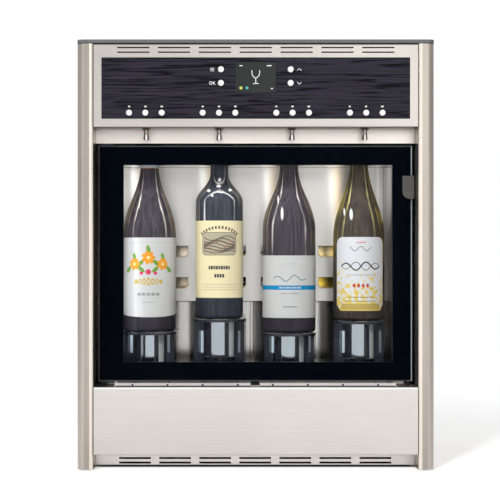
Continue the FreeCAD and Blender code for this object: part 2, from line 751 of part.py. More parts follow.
def bottle(x, base, shape):
    """A hollow bottle with a punt, a round heel, a sloped shoulder and a ringed mouth."""
    radius, tall, shoulder, neck = shape
    top = base + tall
    inner = radius - bottle_wall
    ring_bottom = top - bottle_ring_height
    ring_radius = bottle_neck_radius + bottle_ring
    foot = radius - bottle_heel
    slant = bottle_heel * math.sqrt(0.5)
    heel_middle = Vector(foot + slant, 0, base + bottle_heel - slant)
    outer_shoulder = shoulder_curve(radius, base + shoulder, bottle_neck_radius, base + neck)
    inner_shoulder = shoulder_curve(inner, base + shoulder, bottle_bore_radius, base + neck)

    def line(a, b):
        return Part.LineSegment(Vector(a[0], 0, a[1]), Vector(b[0], 0, b[1])).toShape()

    floor = base + bottle_punt + bottle_wall
    ring = foot - bottle_foot
    edges = [line((0, base + bottle_punt), (ring, base)), line((ring, base), (foot, base)),
             Part.Arc(Vector(foot, 0, base), heel_middle, Vector(radius, 0, base + bottle_heel)).toShape(),
             line((radius, base + bottle_heel), (radius, base + shoulder)), outer_shoulder,
             line((bottle_neck_radius, base + neck), (bottle_neck_radius, ring_bottom)),
             line((bottle_neck_radius, ring_bottom), (ring_radius, ring_bottom)),
             line((ring_radius, ring_bottom), (ring_radius, top)),
             line((ring_radius, top), (bottle_bore_radius, top)),
             line((bottle_bore_radius, top), (bottle_bore_radius, base + neck)), inner_shoulder,
             line((inner, base + shoulder), (inner, base + bottle_heel)),
             line((inner, base + bottle_heel), (ring, base + bottle_foot_glass)),
             line((ring, base + bottle_foot_glass), (0, floor)), line((0, floor), (0, base + bottle_punt))]
    wire = Part.Wire(Part.__sortEdges__(edges))
    glass = Part.Face(wire).revolve(Vector(0, 0, 0), Z, 360)
    glass.translate(Vector(x, bottle_y, 0))
    return glass


# ---- Door ----

def door_outer_glass():
    """The front pane, which the border is printed on."""
    pane = box((-glass_half, glass_half), (recess_face, frame_front), (door_bottom, door_top))
    return round_edges(pane, Y, glass_corner)


def door_window():
    """The clear opening of the door: x and z limits."""
    return ((-glass_half + door_border_left, glass_half - door_border_right),
            (door_bottom + door_border_bottom, door_top - door_border_top))


def door_frame_outline():
    """Outer x and z limits of the frame behind the front pane."""
    inset = glass_half - door_frame_inset
    return (-inset, inset), (door_bottom, door_top)


def door_spacer_frame():
    """Frame that holds the two panes apart, with a hinge lug above and below its left side."""
    window_x, window_z = door_window()
    outline_x, outline_z = door_frame_outline()
    y = (frame_front, frame_back)
    frame = box(outline_x, y, outline_z).cut(box(window_x, (y[0] - over, y[1] + over), window_z))
    lugs = []
    for z in ((door_top, door_top + hinge_lug), (door_bottom - hinge_lug, door_bottom)):
        lug = box((hinge_x - hinge_lug_half, hinge_x + hinge_lug_reach),
                  (hinge_y - hinge_lug_half, hinge_y + 2 * hinge_lug_half), z)
        lugs.append(round_edges(lug, Z, hinge_lug_corner, lambda c: c.x < hinge_x and c.y < hinge_y))
    frame = frame.fuse(lugs).removeSplitter()
    below = (door_bottom - hinge_lug - over, door_bottom)
    above = (door_top, door_top + hinge_lug + over)
    return cut_all(frame, [post(hinge_pin_radius + running_fit, hinge_x, hinge_y, z) for z in (below, above)])


def door_inner_glass():
    """The rear pane, let into the back of the frame."""
    window_x, window_z = door_window()
    lap = inner_glass_lap
    return box((window_x[0] - lap, window_x[1] + lap), (frame_back, frame_back + inner_glass),
               (window_z[0] - lap, window_z[1] + lap))


def door_gasket():
    """Soft seal round the rear pane, just clear of the liner flange when the door is shut."""
    x0, x1 = door_frame_outline()[0]
    z0, z1 = tank_floor - gasket_lap, ceiling + gasket_lap
    y = (frame_back, flange_face - gasket_gap)
    ring = box((x0, x1), y, (z0, z1))
    return ring.cut(box((x0 + gasket_width, x1 - gasket_width), (y[0] - over, y[1] + over),
                        (z0 + gasket_width, z1 - gasket_width)))


def door_handle():
    """Finger tab clamped on the free edge of the front pane."""
    z0 = door_bottom + handle_level
    x1 = glass_half + handle_out
    x0 = x1 - handle_width
    tab = box((x0, x1), (recess_face - handle_plate, frame_front + handle_back), (z0, z0 + handle_height))
    tab = round_edges(tab, Y, handle_corner, lambda c: c.x < x0 + over and c.z < z0 + over)
    tab = round_edges(tab, Y, handle_edge, lambda c: c.z > z0 + handle_height - over or c.x > x1 - over)
    z = (z0 - over, z0 + handle_height + over)
    slot = box((x0 - over, glass_half), (recess_face, frame_front), z)
    behind = box((x0 - over, x1 - 2 * handle_out), (frame_front - over, frame_front + handle_back + over), z)
    return cut_all(tab, [slot, behind])


def door_brackets():
    """Lower and upper hinge brackets with their pins, the door catch and the stop pin."""
    x = (-opening_half, hinge_x + bracket_reach)
    y_back = hinge_y + bracket_behind
    plate_top = door_bottom - hinge_lug - joint_gap
    plate = box(x, (front + ledge_rim, y_back), (ledge_top, plate_top))
    lower = plate.fuse(post(hinge_pin_radius, hinge_x, hinge_y, (plate_top, door_bottom - joint_gap)))
    block_z = (spout_panel_bottom + sheet, spout_panel_bottom + sheet + upper_bracket)
    block = box(x, (recess_face + sheet + joint_gap, y_back), block_z)
    upper = block.fuse(post(hinge_pin_radius, hinge_x, hinge_y, (door_top + joint_gap, block_z[0])))
    z = (ledge_top, door_bottom - catch_gap)
    catch_y = recess_face - catch_front
    catch = box((-catch_width / 2, catch_width / 2), (catch_y, catch_y + catch_depth), z)
    stop = post(stop_radius, -hinge_x, recess_face + stop_radius, z)
    return [lower.removeSplitter(), upper.removeSplitter(), catch, stop]


# ---- Controls ----

def dispense_button_places():
    """Name, x and z of the three buttons of each bottle."""
    z = panel_bottom + dispense_row
    sizes = ("small", "medium", "large")
    return [("dispense_button_%d_%s" % (n + 1, sizes[k]), x + (k - 1) * button_spacing, z)
            for n, x in enumerate(bottle_x) for k in range(3)]


def menu_button_places():
    """Name, x and z of the four buttons beside the display."""
    high = panel_top - menu_upper_row
    low = high - menu_row_pitch
    return [("menu_button_list", -menu_column, high), ("menu_button_ok", -menu_column, low),
            ("menu_button_up", menu_column, high), ("menu_button_down", menu_column, low)]


def button(x, z):
    """Cap with a round edge, a flange behind the panel and a stem towards the switch."""
    back = panel_back + button_back_gap
    cap = bar_y(button_radius, x, (front - proud, back), z)
    rim = [edge for edge in cap.Edges if edge.BoundBox.YMax < front - proud + near]
    cap = cap.makeFillet(button_edge, rim)
    flange_back = back + button_flange_depth
    flange = bar_y(button_radius + button_flange, x, (back, flange_back), z)
    stem = bar_y(button_stem_radius, x, (flange_back, button_end), z)
    return cap.fuse([flange, stem]).removeSplitter()


def display_limits():
    """Lower and upper level of the display."""
    top = panel_top - display_below_panel_top
    return top - display_height, top


def control_panel():
    """Panel with its face in the fascia's opening and a wider seat behind it, and its holes."""
    half = panel_width / 2 - panel_clearance
    face = box((-half, half), (panel_face, front + sheet),
               (panel_bottom + panel_clearance, panel_top - panel_clearance))
    seat = box((-panel_width / 2 - panel_seat, panel_width / 2 + panel_seat), (front + sheet, panel_back),
               (panel_bottom - panel_seat, panel_top + panel_seat))
    low, high = display_limits()
    through = (front - over, panel_back + over)
    tools = [bar_y(button_radius + button_clearance, x, through, z)
             for _, x, z in dispense_button_places() + menu_button_places()]
    half = display_width / 2 + display_clearance
    tools.append(box((-half, half), through, (low - display_clearance, high + display_clearance)))
    return cut_all(face.fuse(seat).removeSplitter(), tools)


def display_module():
    """Screen that fills the panel's window, on a module seated behind it."""
    low, high = display_limits()
    half = display_width / 2
    screen = box((-half, half), (panel_face - display_proud, panel_back), (low, high))
    body = box((-half - module_margin, half + module_margin), (panel_back, panel_back + module_depth),
               (low - module_margin, high + module_margin))
    return screen.fuse(body).removeSplitter()


def control_board():
    """Board behind the panel, with a switch for each button and posts that seat on the panel."""
    y = board_front
    board = box((-panel_width / 2, panel_width / 2), (y, y + board_thickness),
                (panel_bottom + board_margin, panel_top - board_margin))
    parts = [box((x - switch_half, x + switch_half), (y - switch_height, y),
                 (z - switch_half, z + switch_half))
             for _, x, z in dispense_button_places() + menu_button_places()]
    x_post = panel_width / 2 - board_post_inset
    for x in (-x_post, x_post):
        for z in (panel_bottom + board_post_inset, panel_top - board_post_inset):
            parts.append(bar_y(board_post_radius, x, (panel_back, y), z))
    board = board.fuse(parts).removeSplitter()
    half = display_width / 2 + 2 * module_margin
    return board.cut(box((-half, half), (y - switch_height - over, y + board_thickness + over),
                         (display_limits()[0] - 2 * module_margin, panel_top)))


# ---- Taps, heads and gas ----

def spouts():
    """Steel tap tubes with a ferrule on the underside of the head."""
    solids = []
    low = head_bottom - spout_tip_below_head
    seat = head_bottom + sheet
    for x in bottle_x:
        tube = post(spout_radius, x, spout_y, (low, valve_bottom))
        tube = tube.fuse(post(ferrule_radius, x, spout_y, (seat, seat + ferrule_height))).removeSplitter()
        solids.append(tube.cut(post(spout_bore, x, spout_y, (low - over, valve_bottom + over))))
    return solids


def solenoid_valves():
    """Valve block over each tap, on two legs, with its coil on top."""
    wide, deep, tall = valve_size
    y0 = spout_y - valve_ahead
    solids = []
    for x in bottle_x:
        body = box((x - wide / 2, x + wide / 2), (y0, y0 + deep), (valve_bottom, valve_bottom + tall))
        legs = [box((lx, lx + valve_leg), (y0, y0 + valve_leg_depth), (head_bottom + sheet, valve_bottom))
                for lx in (x - wide / 2, x + wide / 2 - valve_leg)]
        coil = post(coil_radius, x, y0 + deep / 2, (valve_bottom + tall, valve_bottom + tall + coil_height))
        solids.append(body.fuse(legs + [coil]).removeSplitter())
    return solids


def dispensing_heads():
    """Heads on top of the tank: each takes a bottle's mouth against a seal and has two ports."""
    solids = []
    top = insulation_top + socket_height
    seal_bottom = mouth + seal_gap
    seat = seal_bottom + seal_thickness
    for x in bottle_x:
        body = post(socket_body_radius, x, bottle_y, (insulation_top, top))
        flange = post(socket_flange_radius, x, bottle_y, (insulation_top, insulation_top + socket_flange))
        front_port = bar_y(port_radius, x, (bottle_y - socket_body_radius - port_length, bottle_y), port_z)
        rear_port = bar_y(port_radius, x, (bottle_y, bottle_y + socket_body_radius + port_length), port_z)
        head = body.fuse([flange, front_port, rear_port]).removeSplitter()
        bores = [post(socket_radius, x, bottle_y, (insulation_top - over, seat)),
                 post(dip_tube_radius + joint_gap, x, bottle_y, (seat - over, port_z - dip_bore_below_port))]
        solids.append(cut_all(head, bores))
        seal = post(socket_radius - seal_clearance, x, bottle_y, (seal_bottom, seat))
        solids.append(seal.cut(post(dip_tube_radius + joint_gap, x, bottle_y,
                                    (seal_bottom - over, seat + over))))
    return solids


def tube_y(x, run):
    """A straight tube along Y at the level of the ports."""
    return bar_y(tube_radius, x, run, port_z).cut(bar_y(tube_bore, x, (run[0] - over, run[1] + over), port_z))


def tubing():
    """Dip tubes into the bottles, wine tubes to the valves, and gas tubes from the manifold."""
    solids = []
    port_reach = socket_body_radius + port_length
    for x, base in zip(bottle_x, lift_tops):
        run = (base + bottle_wall + dip_tube_clear, port_z - dip_bore_below_port - dip_tube_end_gap)
        solids.append(post(dip_tube_radius, x, bottle_y, run).cut(
                      post(dip_tube_radius - dip_tube_wall, x, bottle_y, (run[0] - over, run[1] + over))))
        wine = (spout_y - valve_ahead + valve_size[1], bottle_y - port_reach)
        gas = (bottle_y + port_reach, manifold_y - manifold_size / 2)
        solids += [tube_y(x, wine), tube_y(x, gas)]
    return solids + [tube_y(inlet_x, (manifold_y + manifold_size / 2, inlet_end))]


def gas_manifold():
    """Gas rail on two legs with its regulator, and the push-in inlet in the rear cover."""
    half = manifold_size / 2
    y = (manifold_y - half, manifold_y + half)
    rail = box((-manifold_half_length, manifold_half_length), y, (port_z - half, port_z + half))
    legs = [box((x - half / 2, x + half / 2), y, (insulation_top, port_z - half))
            for x in (-manifold_half_length + half, manifold_half_length - half)]
    rail = rail.fuse(legs).removeSplitter()
    seat = port_z + half
    knob = seat + regulator_height
    regulator = post(regulator_radius, bottle_pitch, manifold_y, (seat, knob)).fuse(
        post(regulator_knob_radius, bottle_pitch, manifold_y, (knob, knob + regulator_knob_height)))
    tip = rear + proud
    barrel = bar_y(gas_inlet_radius, inlet_x, (inlet_end, tip), port_z)
    collar = bar_y(gas_inlet_nut_radius, inlet_x, (rear, rear + gas_inlet_collar), port_z)
    nut = bar_y(gas_inlet_nut_radius, inlet_x, (rear - sheet - gas_inlet_nut, rear - sheet), port_z)
    inlet = barrel.fuse([collar, nut]).removeSplitter()
    inlet = inlet.cut(bar_y(gas_inlet_bore, inlet_x, (tip - gas_inlet_bore_depth, tip + over), port_z))
    return [rail, regulator.removeSplitter(), inlet]


# ---- Cooling and power ----

def finned(size, y, fins_forward):
    """A heat sink: a base plate with upright fins on one side."""
    wide, deep, tall = size
    z = (cooling_level - tall / 2, cooling_level + tall / 2)
    base_y = (y + deep - sink_base, y + deep) if fins_forward else (y, y + sink_base)
    fin_y = (y, y + deep - sink_base) if fins_forward else (y + sink_base, y + deep)
    x = (cooling_x - wide / 2, cooling_x + wide / 2)
    base = box(x, base_y, z)
    count = int((wide - fin_thickness) // fin_pitch) + 1
    first = cooling_x - (count - 1) * fin_pitch / 2 - fin_thickness / 2
    fins = [box((first + i * fin_pitch, first + i * fin_pitch + fin_thickness), fin_y, z)
            for i in range(count)]
    return base.fuse(fins).removeSplitter()


def heat_exchanger():
    """Cold sink with its block through the tank wall, the module, and the hot sink behind."""
    block_end = insulation_rear + cold_block_proud
    half = cold_block / 2
    block = box((cooling_x - half, cooling_x + half), (liner_rear - cold_sink_gap, block_end),
                (cooling_level - half, cooling_level + half))
    cold = finned(cold_sink_size, cold_sink_front, True).fuse(block).removeSplitter()
    half = peltier_size / 2
    module = box((cooling_x - half, cooling_x + half), (block_end, hot_sink_front),
                 (cooling_level - half, cooling_level + half))
    hot = finned(hot_sink_size, hot_sink_front, False)
    return [cold, module, hot]


def fan_frame(radius, y):
    """Square fan housing with a round throat, three struts and a shaft for the rotor."""
    throat = radius + fan_tip_gap
    half = throat + fan_frame_wall
    back = y + fan_frame_depth
    frame = box((cooling_x - half, cooling_x + half), (y, back), (cooling_level - half, cooling_level + half))
    frame = round_edges(frame, Y, fan_frame_corner)
    frame = frame.cut(bar_y(throat, cooling_x, (y - over, back + over), cooling_level))
    plate_y = (back - fan_plate, back)
    plate = bar_y(fan_hub_radius, cooling_x, plate_y, cooling_level)
    struts = [box((cooling_x - fan_strut / 2, cooling_x + fan_strut / 2), plate_y,
                  (cooling_level, cooling_level + throat + over)) for _ in range(3)]
    for i, strut in enumerate(struts):
        strut.rotate(Vector(cooling_x, 0, cooling_level), Y, 120 * i)
    shaft = bar_y(fan_shaft_radius, cooling_x, (y + fan_shaft_set, plate_y[0]), cooling_level)
    return frame.fuse([plate, shaft] + struts).removeSplitter()


def fan_rotor(radius, y):
    """Hub with pitched blades, bored for the housing's shaft."""
    hub_y = (y + fan_hub_set, y + fan_frame_depth - fan_plate - fan_hub_gap)
    hub = bar_y(fan_hub_radius, cooling_x, hub_y, cooling_level)
    blade = box((-fan_blade_thickness / 2, fan_blade_thickness / 2),
                (-fan_blade_chord / 2, fan_blade_chord / 2),
                (fan_hub_radius - fan_blade_root, radius - fan_blade_tip_set))
    blade.rotate(Vector(0, 0, 0), Z, fan_blade_angle)
    blade.translate(Vector(cooling_x, sum(hub_y) / 2, cooling_level))
    blades = [blade.copy() for _ in range(fan_blades)]
    for i, one in enumerate(blades):
        one.rotate(Vector(cooling_x, 0, cooling_level), Y, 360 * i / fan_blades)
    rotor = hub.fuse(blades).removeSplitter()
    return rotor.cut(bar_y(fan_shaft_radius + running_fit, cooling_x,
                           (y + fan_shaft_set - fan_shaft_end_gap, hub_y[1] + over), cooling_level))


def power_supply():
    """Closed supply box on the base pan."""
    wide, deep, tall = supply_size
    x = -side + supply_left
    y = rear - 2 * sheet - supply_to_cover
    z = foot_height + sheet
    return box((x, x + wide), (y - deep, y), (z, z + tall))


def power_inlet():
    """Inlet module in the rear cover: socket with three pins below, rocker bay above."""
    wide, deep, tall = power_inlet_size
    x0, x1 = power_inlet_x - wide / 2, power_inlet_x + wide / 2
    z0, z1 = power_inlet_z - tall / 2, power_inlet_z + tall / 2
    body = box((x0, x1), (rear - deep, rear), (z0, z1))
    mouth_face = rear + inlet_flange_depth
    flange = box((x0 - inlet_flange, x1 + inlet_flange), (rear, mouth_face),
                 (z0 - inlet_flange, z1 + inlet_flange))
    body = body.fuse(round_edges(flange, Y, inlet_flange_corner)).removeSplitter()
    half_x, half_z = socket_opening[0] / 2, socket_opening[1] / 2
    socket_z = z0 + half_z + socket_margin
    recess_floor = mouth_face - socket_recess
    socket = box((power_inlet_x - half_x, power_inlet_x + half_x), (recess_floor, mouth_face + over),
                 (socket_z - half_z, socket_z + half_z))
    bay_half_x = rocker_size[0] / 2 + rocker_side_room
    bay_half_z = rocker_size[1] / 2 + rocker_room
    bay = box((power_inlet_x - bay_half_x, power_inlet_x + bay_half_x),
              (rear - rocker_bay_depth, mouth_face + over), (rocker_z - bay_half_z, rocker_z + bay_half_z))
    body = cut_all(body, [socket, bay])
    tall_half, thick_half = pin_section[0] / 2, pin_section[1] / 2
    pins = [box((power_inlet_x + dx - thick_half, power_inlet_x + dx + thick_half),
                (recess_floor, recess_floor + pin_length),
                (socket_z + dz - tall_half, socket_z + dz + tall_half)) for dx, dz in pin_places]
    pivot_half = bay_half_x + pivot_lap
    pivot = Part.makeCylinder(rocker_pivot_radius, 2 * pivot_half,
                              Vector(power_inlet_x - pivot_half, rear - rocker_axis_depth, rocker_z), X)
    return body.fuse(pins + [pivot]).removeSplitter()


def power_switch():
    """Rocker on the inlet's pivot, tilted to its off side."""
    wide, tall = rocker_size
    outline = [(-rocker_bottom, -rocker_bottom_half), (rocker_tip, -tall / 2), (rocker_waist, 0),
               (rocker_tip, tall / 2), (-rocker_bottom, rocker_bottom_half)]
    outline = Part.makePolygon([Vector(0, y, z) for y, z in outline + outline[:1]])
    rocker = Part.Face(outline).extrude(Vector(wide, 0, 0))
    bore = Part.makeCylinder(rocker_pivot_radius + running_fit, wide + 2 * over, Vector(-over, 0, 0), X)
    rocker = rocker.cut(bore)
    rocker.rotate(Vector(0, 0, 0), X, rocker_tilt)
    rocker.translate(Vector(power_inlet_x - wide / 2, rear - rocker_axis_depth, rocker_z))
    return rocker


# ---- All nodes ----
os.makedirs("parts", exist_ok=True)

save("side_panel_left", side_panel(-1))
save("side_panel_right", side_panel(1))
save("top_cover", top_cover())
save("base_pan", base_pan())
save("feet", *feet())
save("rear_cover", rear_cover())
save("housing_screws", *housing_screws())
save("lower_front_panel", lower_front_panel())
save("drip_tray", drip_tray())
save("fascia_frame", fascia_frame())
save("spout_panel", spout_panel())

save("tank_liner", tank_liner())
save("tank_insulation", tank_insulation())
save("tank_back_panels", *tank_back_panels())

save("lift_guides", *lift_guides())
for number, (place, top, shape) in enumerate(zip(bottle_x, lift_tops, bottle_shapes), start=1):
    save("lift_plunger_%d" % number, *lift_plunger(place, top))
    save("bottle_%d" % number, bottle(place, top, shape))

save("door_outer_glass", door_outer_glass())
save("door_spacer_frame", door_spacer_frame())
save("door_inner_glass", door_inner_glass())
save("door_gasket", door_gasket())
save("door_handle", door_handle())
save("door_brackets", *door_brackets())

save("control_panel", control_panel())
save("display_module", display_module())
save("control_board", control_board())
for name, place, level in dispense_button_places() + menu_button_places():
    save(name, button(place, level))

save("spouts", *spouts())
save("solenoid_valves", *solenoid_valves())
save("dispensing_heads", *dispensing_heads())
save("tubing", *tubing())
save("gas_manifold", *gas_manifold())

save("heat_exchanger", *heat_exchanger())
save("fan_frames", fan_frame(tank_fan_radius, tank_fan_y), fan_frame(rear_fan_radius, rear_fan_y))
save("tank_fan_rotor", fan_rotor(tank_fan_radius, tank_fan_y))
save("rear_fan_rotor", fan_rotor(rear_fan_radius, rear_fan_y))
save("power_supply", power_supply())
save("power_inlet", power_inlet())
save("power_switch", power_switch())
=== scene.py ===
import math

import bmesh
import bpy
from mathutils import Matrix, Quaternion, Vector


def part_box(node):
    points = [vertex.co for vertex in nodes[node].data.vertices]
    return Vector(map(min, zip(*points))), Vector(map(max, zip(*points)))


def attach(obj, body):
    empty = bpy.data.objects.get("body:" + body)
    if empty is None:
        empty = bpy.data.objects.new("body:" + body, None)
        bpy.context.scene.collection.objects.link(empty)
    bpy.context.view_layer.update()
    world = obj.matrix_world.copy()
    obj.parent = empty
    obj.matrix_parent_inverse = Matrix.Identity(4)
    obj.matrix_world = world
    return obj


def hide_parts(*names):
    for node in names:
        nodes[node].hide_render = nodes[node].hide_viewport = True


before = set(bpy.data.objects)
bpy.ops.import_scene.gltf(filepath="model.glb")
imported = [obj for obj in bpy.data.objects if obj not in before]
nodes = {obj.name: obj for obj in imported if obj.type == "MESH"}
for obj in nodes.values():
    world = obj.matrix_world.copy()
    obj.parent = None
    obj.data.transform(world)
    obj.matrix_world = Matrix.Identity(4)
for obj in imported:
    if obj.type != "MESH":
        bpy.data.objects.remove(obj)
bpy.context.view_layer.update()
mm = 0.001

# ---- Feet and base pan ----
# Four turned rubber feet carry a folded pan of stainless steel. The pan's front edge
# is the toe wall, punched with two rows of air slots.


def shader_of(made):
    """The Principled shader of a material."""
    return made.node_tree.nodes["Principled BSDF"]


def fill(tree, node, sockets):
    """Sets a node's inputs to values, or joins them to other sockets."""
    for key, value in dict(sockets).items():
        if isinstance(value, bpy.types.NodeSocket):
            tree.links.new(value, node.inputs[key])
        else:
            node.inputs[key].default_value = value


def give(made, sockets):
    """Sets or joins inputs of a material's shader."""
    fill(made.node_tree, shader_of(made), sockets)
    return made


def joined(made, key="Base Color"):
    """The socket that feeds an input of a material's shader."""
    return shader_of(made).inputs[key].links[0].from_socket


def material(name, colour, roughness, metallic=0.0):
    """A node material with the three plain values of its shader set."""
    made = bpy.data.materials.new(name)
    made.use_nodes = True
    return give(made, {"Base Color": (*colour, 1.0), "Roughness": roughness, "Metallic": metallic})


def add(tree, kind, sockets=(), **settings):
    """A new node with its settings and its inputs."""
    node = tree.nodes.new(kind)
    for key, value in settings.items():
        setattr(node, key, value)
    fill(tree, node, sockets)
    return node


def maths(tree, operation, *values, **settings):
    """The result of one sum."""
    return add(tree, "ShaderNodeMath", dict(enumerate(values)), operation=operation, **settings).outputs[0]


def times(tree, one, other):
    """Two vectors or colours, multiplied part by part."""
    return add(tree, "ShaderNodeVectorMath", {0: one, 1: other}, operation="MULTIPLY").outputs[0]


def scaled(tree, colour, share):
    """A colour times one number."""
    return add(tree, "ShaderNodeVectorMath", {0: colour, "Scale": share}, operation="SCALE").outputs[0]


def blend(tree, factor, first, second, kind="RGBA"):
    """A mix of two colours, or of two numbers where kind is FLOAT."""
    if kind == "RGBA":
        first, second = [(*c, 1) if isinstance(c, tuple) else c for c in (first, second)]
    return add(tree, "ShaderNodeMix", {"Factor": factor, "A": first, "B": second}, data_type=kind).outputs["Result"]


def remap(tree, value, low, high, to_low=0.0, to_high=1.0, **settings):
    """A value taken from one range to another, and held at its ends."""
    return add(tree, "ShaderNodeMapRange", {"Value": value, "From Min": low, "From Max": high,
                                            "To Min": to_low, "To Max": to_high}, **settings).outputs["Result"]


def noise(tree, place, scale, detail, roughness=0.5):
    """Cloudy noise at a place."""
    return add(tree, "ShaderNodeTexNoise", {"Vector": place, "Scale": scale, "Detail": detail,
                                            "Roughness": roughness}).outputs["Fac"]


def spot_of(tree, what="Object"):
    """Where a point lies at rest, or with "Normal" the way the surface looks there."""
    return add(tree, "ShaderNodeTexCoord").outputs[what]


def along(tree, axis, what="Object"):
    """One axis of that place or way."""
    return add(tree, "ShaderNodeSeparateXYZ", {"Vector": spot_of(tree, what)}).outputs[axis]


def bump_of(tree, height, strength, depth):
    """A relief from a height."""
    return add(tree, "ShaderNodeBump", {"Height": height, "Strength": strength, "Distance": depth}).outputs["Normal"]


def group_with(name, inputs):
    """An empty shared effect with these inputs, which puts out a colour, a roughness and a height."""
    group = bpy.data.node_groups.new(name, "ShaderNodeTree")
    for label, value in inputs.items():
        kind = "Float" if isinstance(value, float) else {3: "Vector", 4: "Color"}[len(value)]
        socket = group.interface.new_socket(label, in_out="INPUT", socket_type="NodeSocket" + kind)
        socket.default_value = value
    for label, kind in (("Colour", "Color"), ("Roughness", "Float"), ("Height", "Float")):
        group.interface.new_socket(label, in_out="OUTPUT", socket_type="NodeSocket" + kind)
    return group, group.nodes.new("NodeGroupInput").outputs, group.nodes.new("NodeGroupOutput")


def speckle_group():
    """Fine stipple and soft patches, as on moulded rubber, plastic and powder coat."""
    group, given, out = group_with("speckle", {
        "Grain": 900.0, "Patches": 12.0, "Low": 0.4, "High": 0.6,
        "Dark": (0.1, 0.1, 0.1, 1), "Light": (0.2, 0.2, 0.2, 1)})
    place = spot_of(group)
    grain = noise(group, place, given["Grain"], 3.0, 0.6)
    patch = noise(group, place, given["Patches"], 4.0, 0.55)
    half = maths(group, "MULTIPLY", maths(group, "ADD", grain, patch), 0.5)
    fill(group, out, {"Colour": blend(group, half, given["Dark"], given["Light"]), "Height": grain,
                      "Roughness": remap(group, patch, 0.3, 0.7, given["Low"], given["High"])})
    return group


def brushed_group():
    """Long fine lines of a brushed metal, with a faint cloudiness over them."""
    group, given, out = group_with("brushed", {
        "Stretch": (14.0, 900.0, 1800.0), "Low": 0.3, "High": 0.42,
        "Dark": (0.5, 0.5, 0.5, 1), "Light": (0.7, 0.7, 0.7, 1)})
    place = spot_of(group)
    lines = noise(group, times(group, place, given["Stretch"]), 1.0, 5.0, 0.65)
    cloud = noise(group, place, 7.0, 3.0)
    even = remap(group, blend(group, 0.35, lines, cloud, "FLOAT"), 0.3, 0.7)
    fill(group, out, {"Colour": blend(group, even, given["Dark"], given["Light"]), "Height": lines,
                      "Roughness": remap(group, cloud, 0.35, 0.65, given["Low"], given["High"])})
    return group


def textured(name, group, dark, light, rough, metallic, bump, depth, **sockets):
    """A material with a shared effect in its colour, roughness and relief."""
    made = material(name, light, rough[0], metallic)
    sockets.update(Low=rough[0], High=rough[1], Dark=(*dark, 1), Light=(*light, 1))
    effect = add(made.node_tree, "ShaderNodeGroup", sockets, node_tree=group).outputs
    return give(made, {"Base Color": effect["Colour"], "Roughness": effect["Roughness"],
                       "Normal": bump_of(made.node_tree, effect["Height"], bump, depth)})


speckle = speckle_group()
brushed = brushed_group()
along_x = (14.0, 900.0, 1800.0)
along_z = (1800.0, 900.0, 10.0)


def speckled(name, dark, light, rough, bump=0.1, grain=900.0, patches=12.0, metallic=0.0, specular=0.5):
    """Rubber, plastic, paint or paper."""
    made = textured(name, speckle, dark, light, rough, metallic, bump, 0.2 * mm, Grain=grain, Patches=patches)
    return give(made, {"Specular IOR Level": specular})


def brushed_metal(name, dark, light, rough, stretch, bump=0.08):
    """A metal with brush lines that run along one axis."""
    return textured(name, brushed, dark, light, rough, 1.0, bump, 0.1 * mm, Stretch=stretch)


def dress(node, finish, edge=0.0):
    """Gives a CAD node its finish, and a small round on its edges where one is asked for."""
    made = nodes[node]
    made.data.materials.clear()
    made.data.materials.append(finish)
    if edge:
        bevel = made.modifiers.new("edge", "BEVEL")
        bevel.width = edge
        bevel.segments = 2
        bevel.limit_method = "ANGLE"
        bevel.angle_limit = math.radians(50)
        bevel.harden_normals = True


def dimmed(made, share):
    """Multiplies a material's colour by a share that other nodes give."""
    return give(made, {"Base Color": scaled(made.node_tree, joined(made), share)})


def painted_shade_on_returns(made, share):
    """Paints shade on the faces that don't look to the front: slot edges, folds and the sheet's back, so that the
    slots read dark.
    """
    tree = made.node_tree
    return dimmed(made, remap(tree, along(tree, "Y", "Normal"), -0.9, -0.5, 1.0, share))


# The toe takes a brighter copy of the steel, as painted light in its shade under the lower front, and painted shade on
# its slot edges and folds.
dress("base_pan", painted_shade_on_returns(brushed_metal("toe_steel", (0.92, 0.875, 0.83), (1.0, 0.965, 0.925), (0.34, 0.44),
                                             along_x), 0.04))
dress("feet", speckled("foot_rubber", (0.012, 0.012, 0.012), (0.03, 0.03, 0.03), (0.6, 0.8), bump=0.3))

# ---- Side panels ----
# Each side is one folded stainless sheet. Its front edge is closed to a column with a
# large round outside and a small one inside, brushed from top to bottom.


def ramp(tree, value, stops):
    """A grey ramp of (place, level) stops."""
    node = add(tree, "ShaderNodeValToRGB", {"Fac": value})
    while len(node.color_ramp.elements) < len(stops):
        node.color_ramp.elements.new(0.5)
    for element, (place, level) in zip(node.color_ramp.elements, stops):
        element.position = place
        element.color = (level, level, level, 1)
    return node.outputs["Color"]


# Painted highlight and shade across each side's front column, set by |X|: a dark line at the inner edge, a bright,
# less metallic band on the inner round, a darker band on the flat, and the rest slightly dimmed.
column_edges = (241.5 * mm, 266.0 * mm)
column_painted_light_tone = ((0.0, 0.40), (0.015, 0.40), (0.05, 1.0), (0.22, 1.0), (0.28, 0.60), (0.55, 0.60), (0.62, 0.86),
               (1.0, 0.86))
column_painted_light_metal = ((0.0, 1.0), (0.015, 1.0), (0.05, 0.25), (0.20, 0.25), (0.27, 1.0), (1.0, 1.0))
upright_steel = brushed_metal("steel_brushed_upright", (0.86, 0.765, 0.67), (0.98, 0.89, 0.795), (0.24, 0.34),
                              along_z)
tree = upright_steel.node_tree
column = remap(tree, maths(tree, "ABSOLUTE", along(tree, "X")), *column_edges)
give(dimmed(upright_steel, ramp(tree, column, column_painted_light_tone)), {"Metallic": ramp(tree, column, column_painted_light_metal)})
for side in ("side_panel_left", "side_panel_right"):
    dress(side, upright_steel)
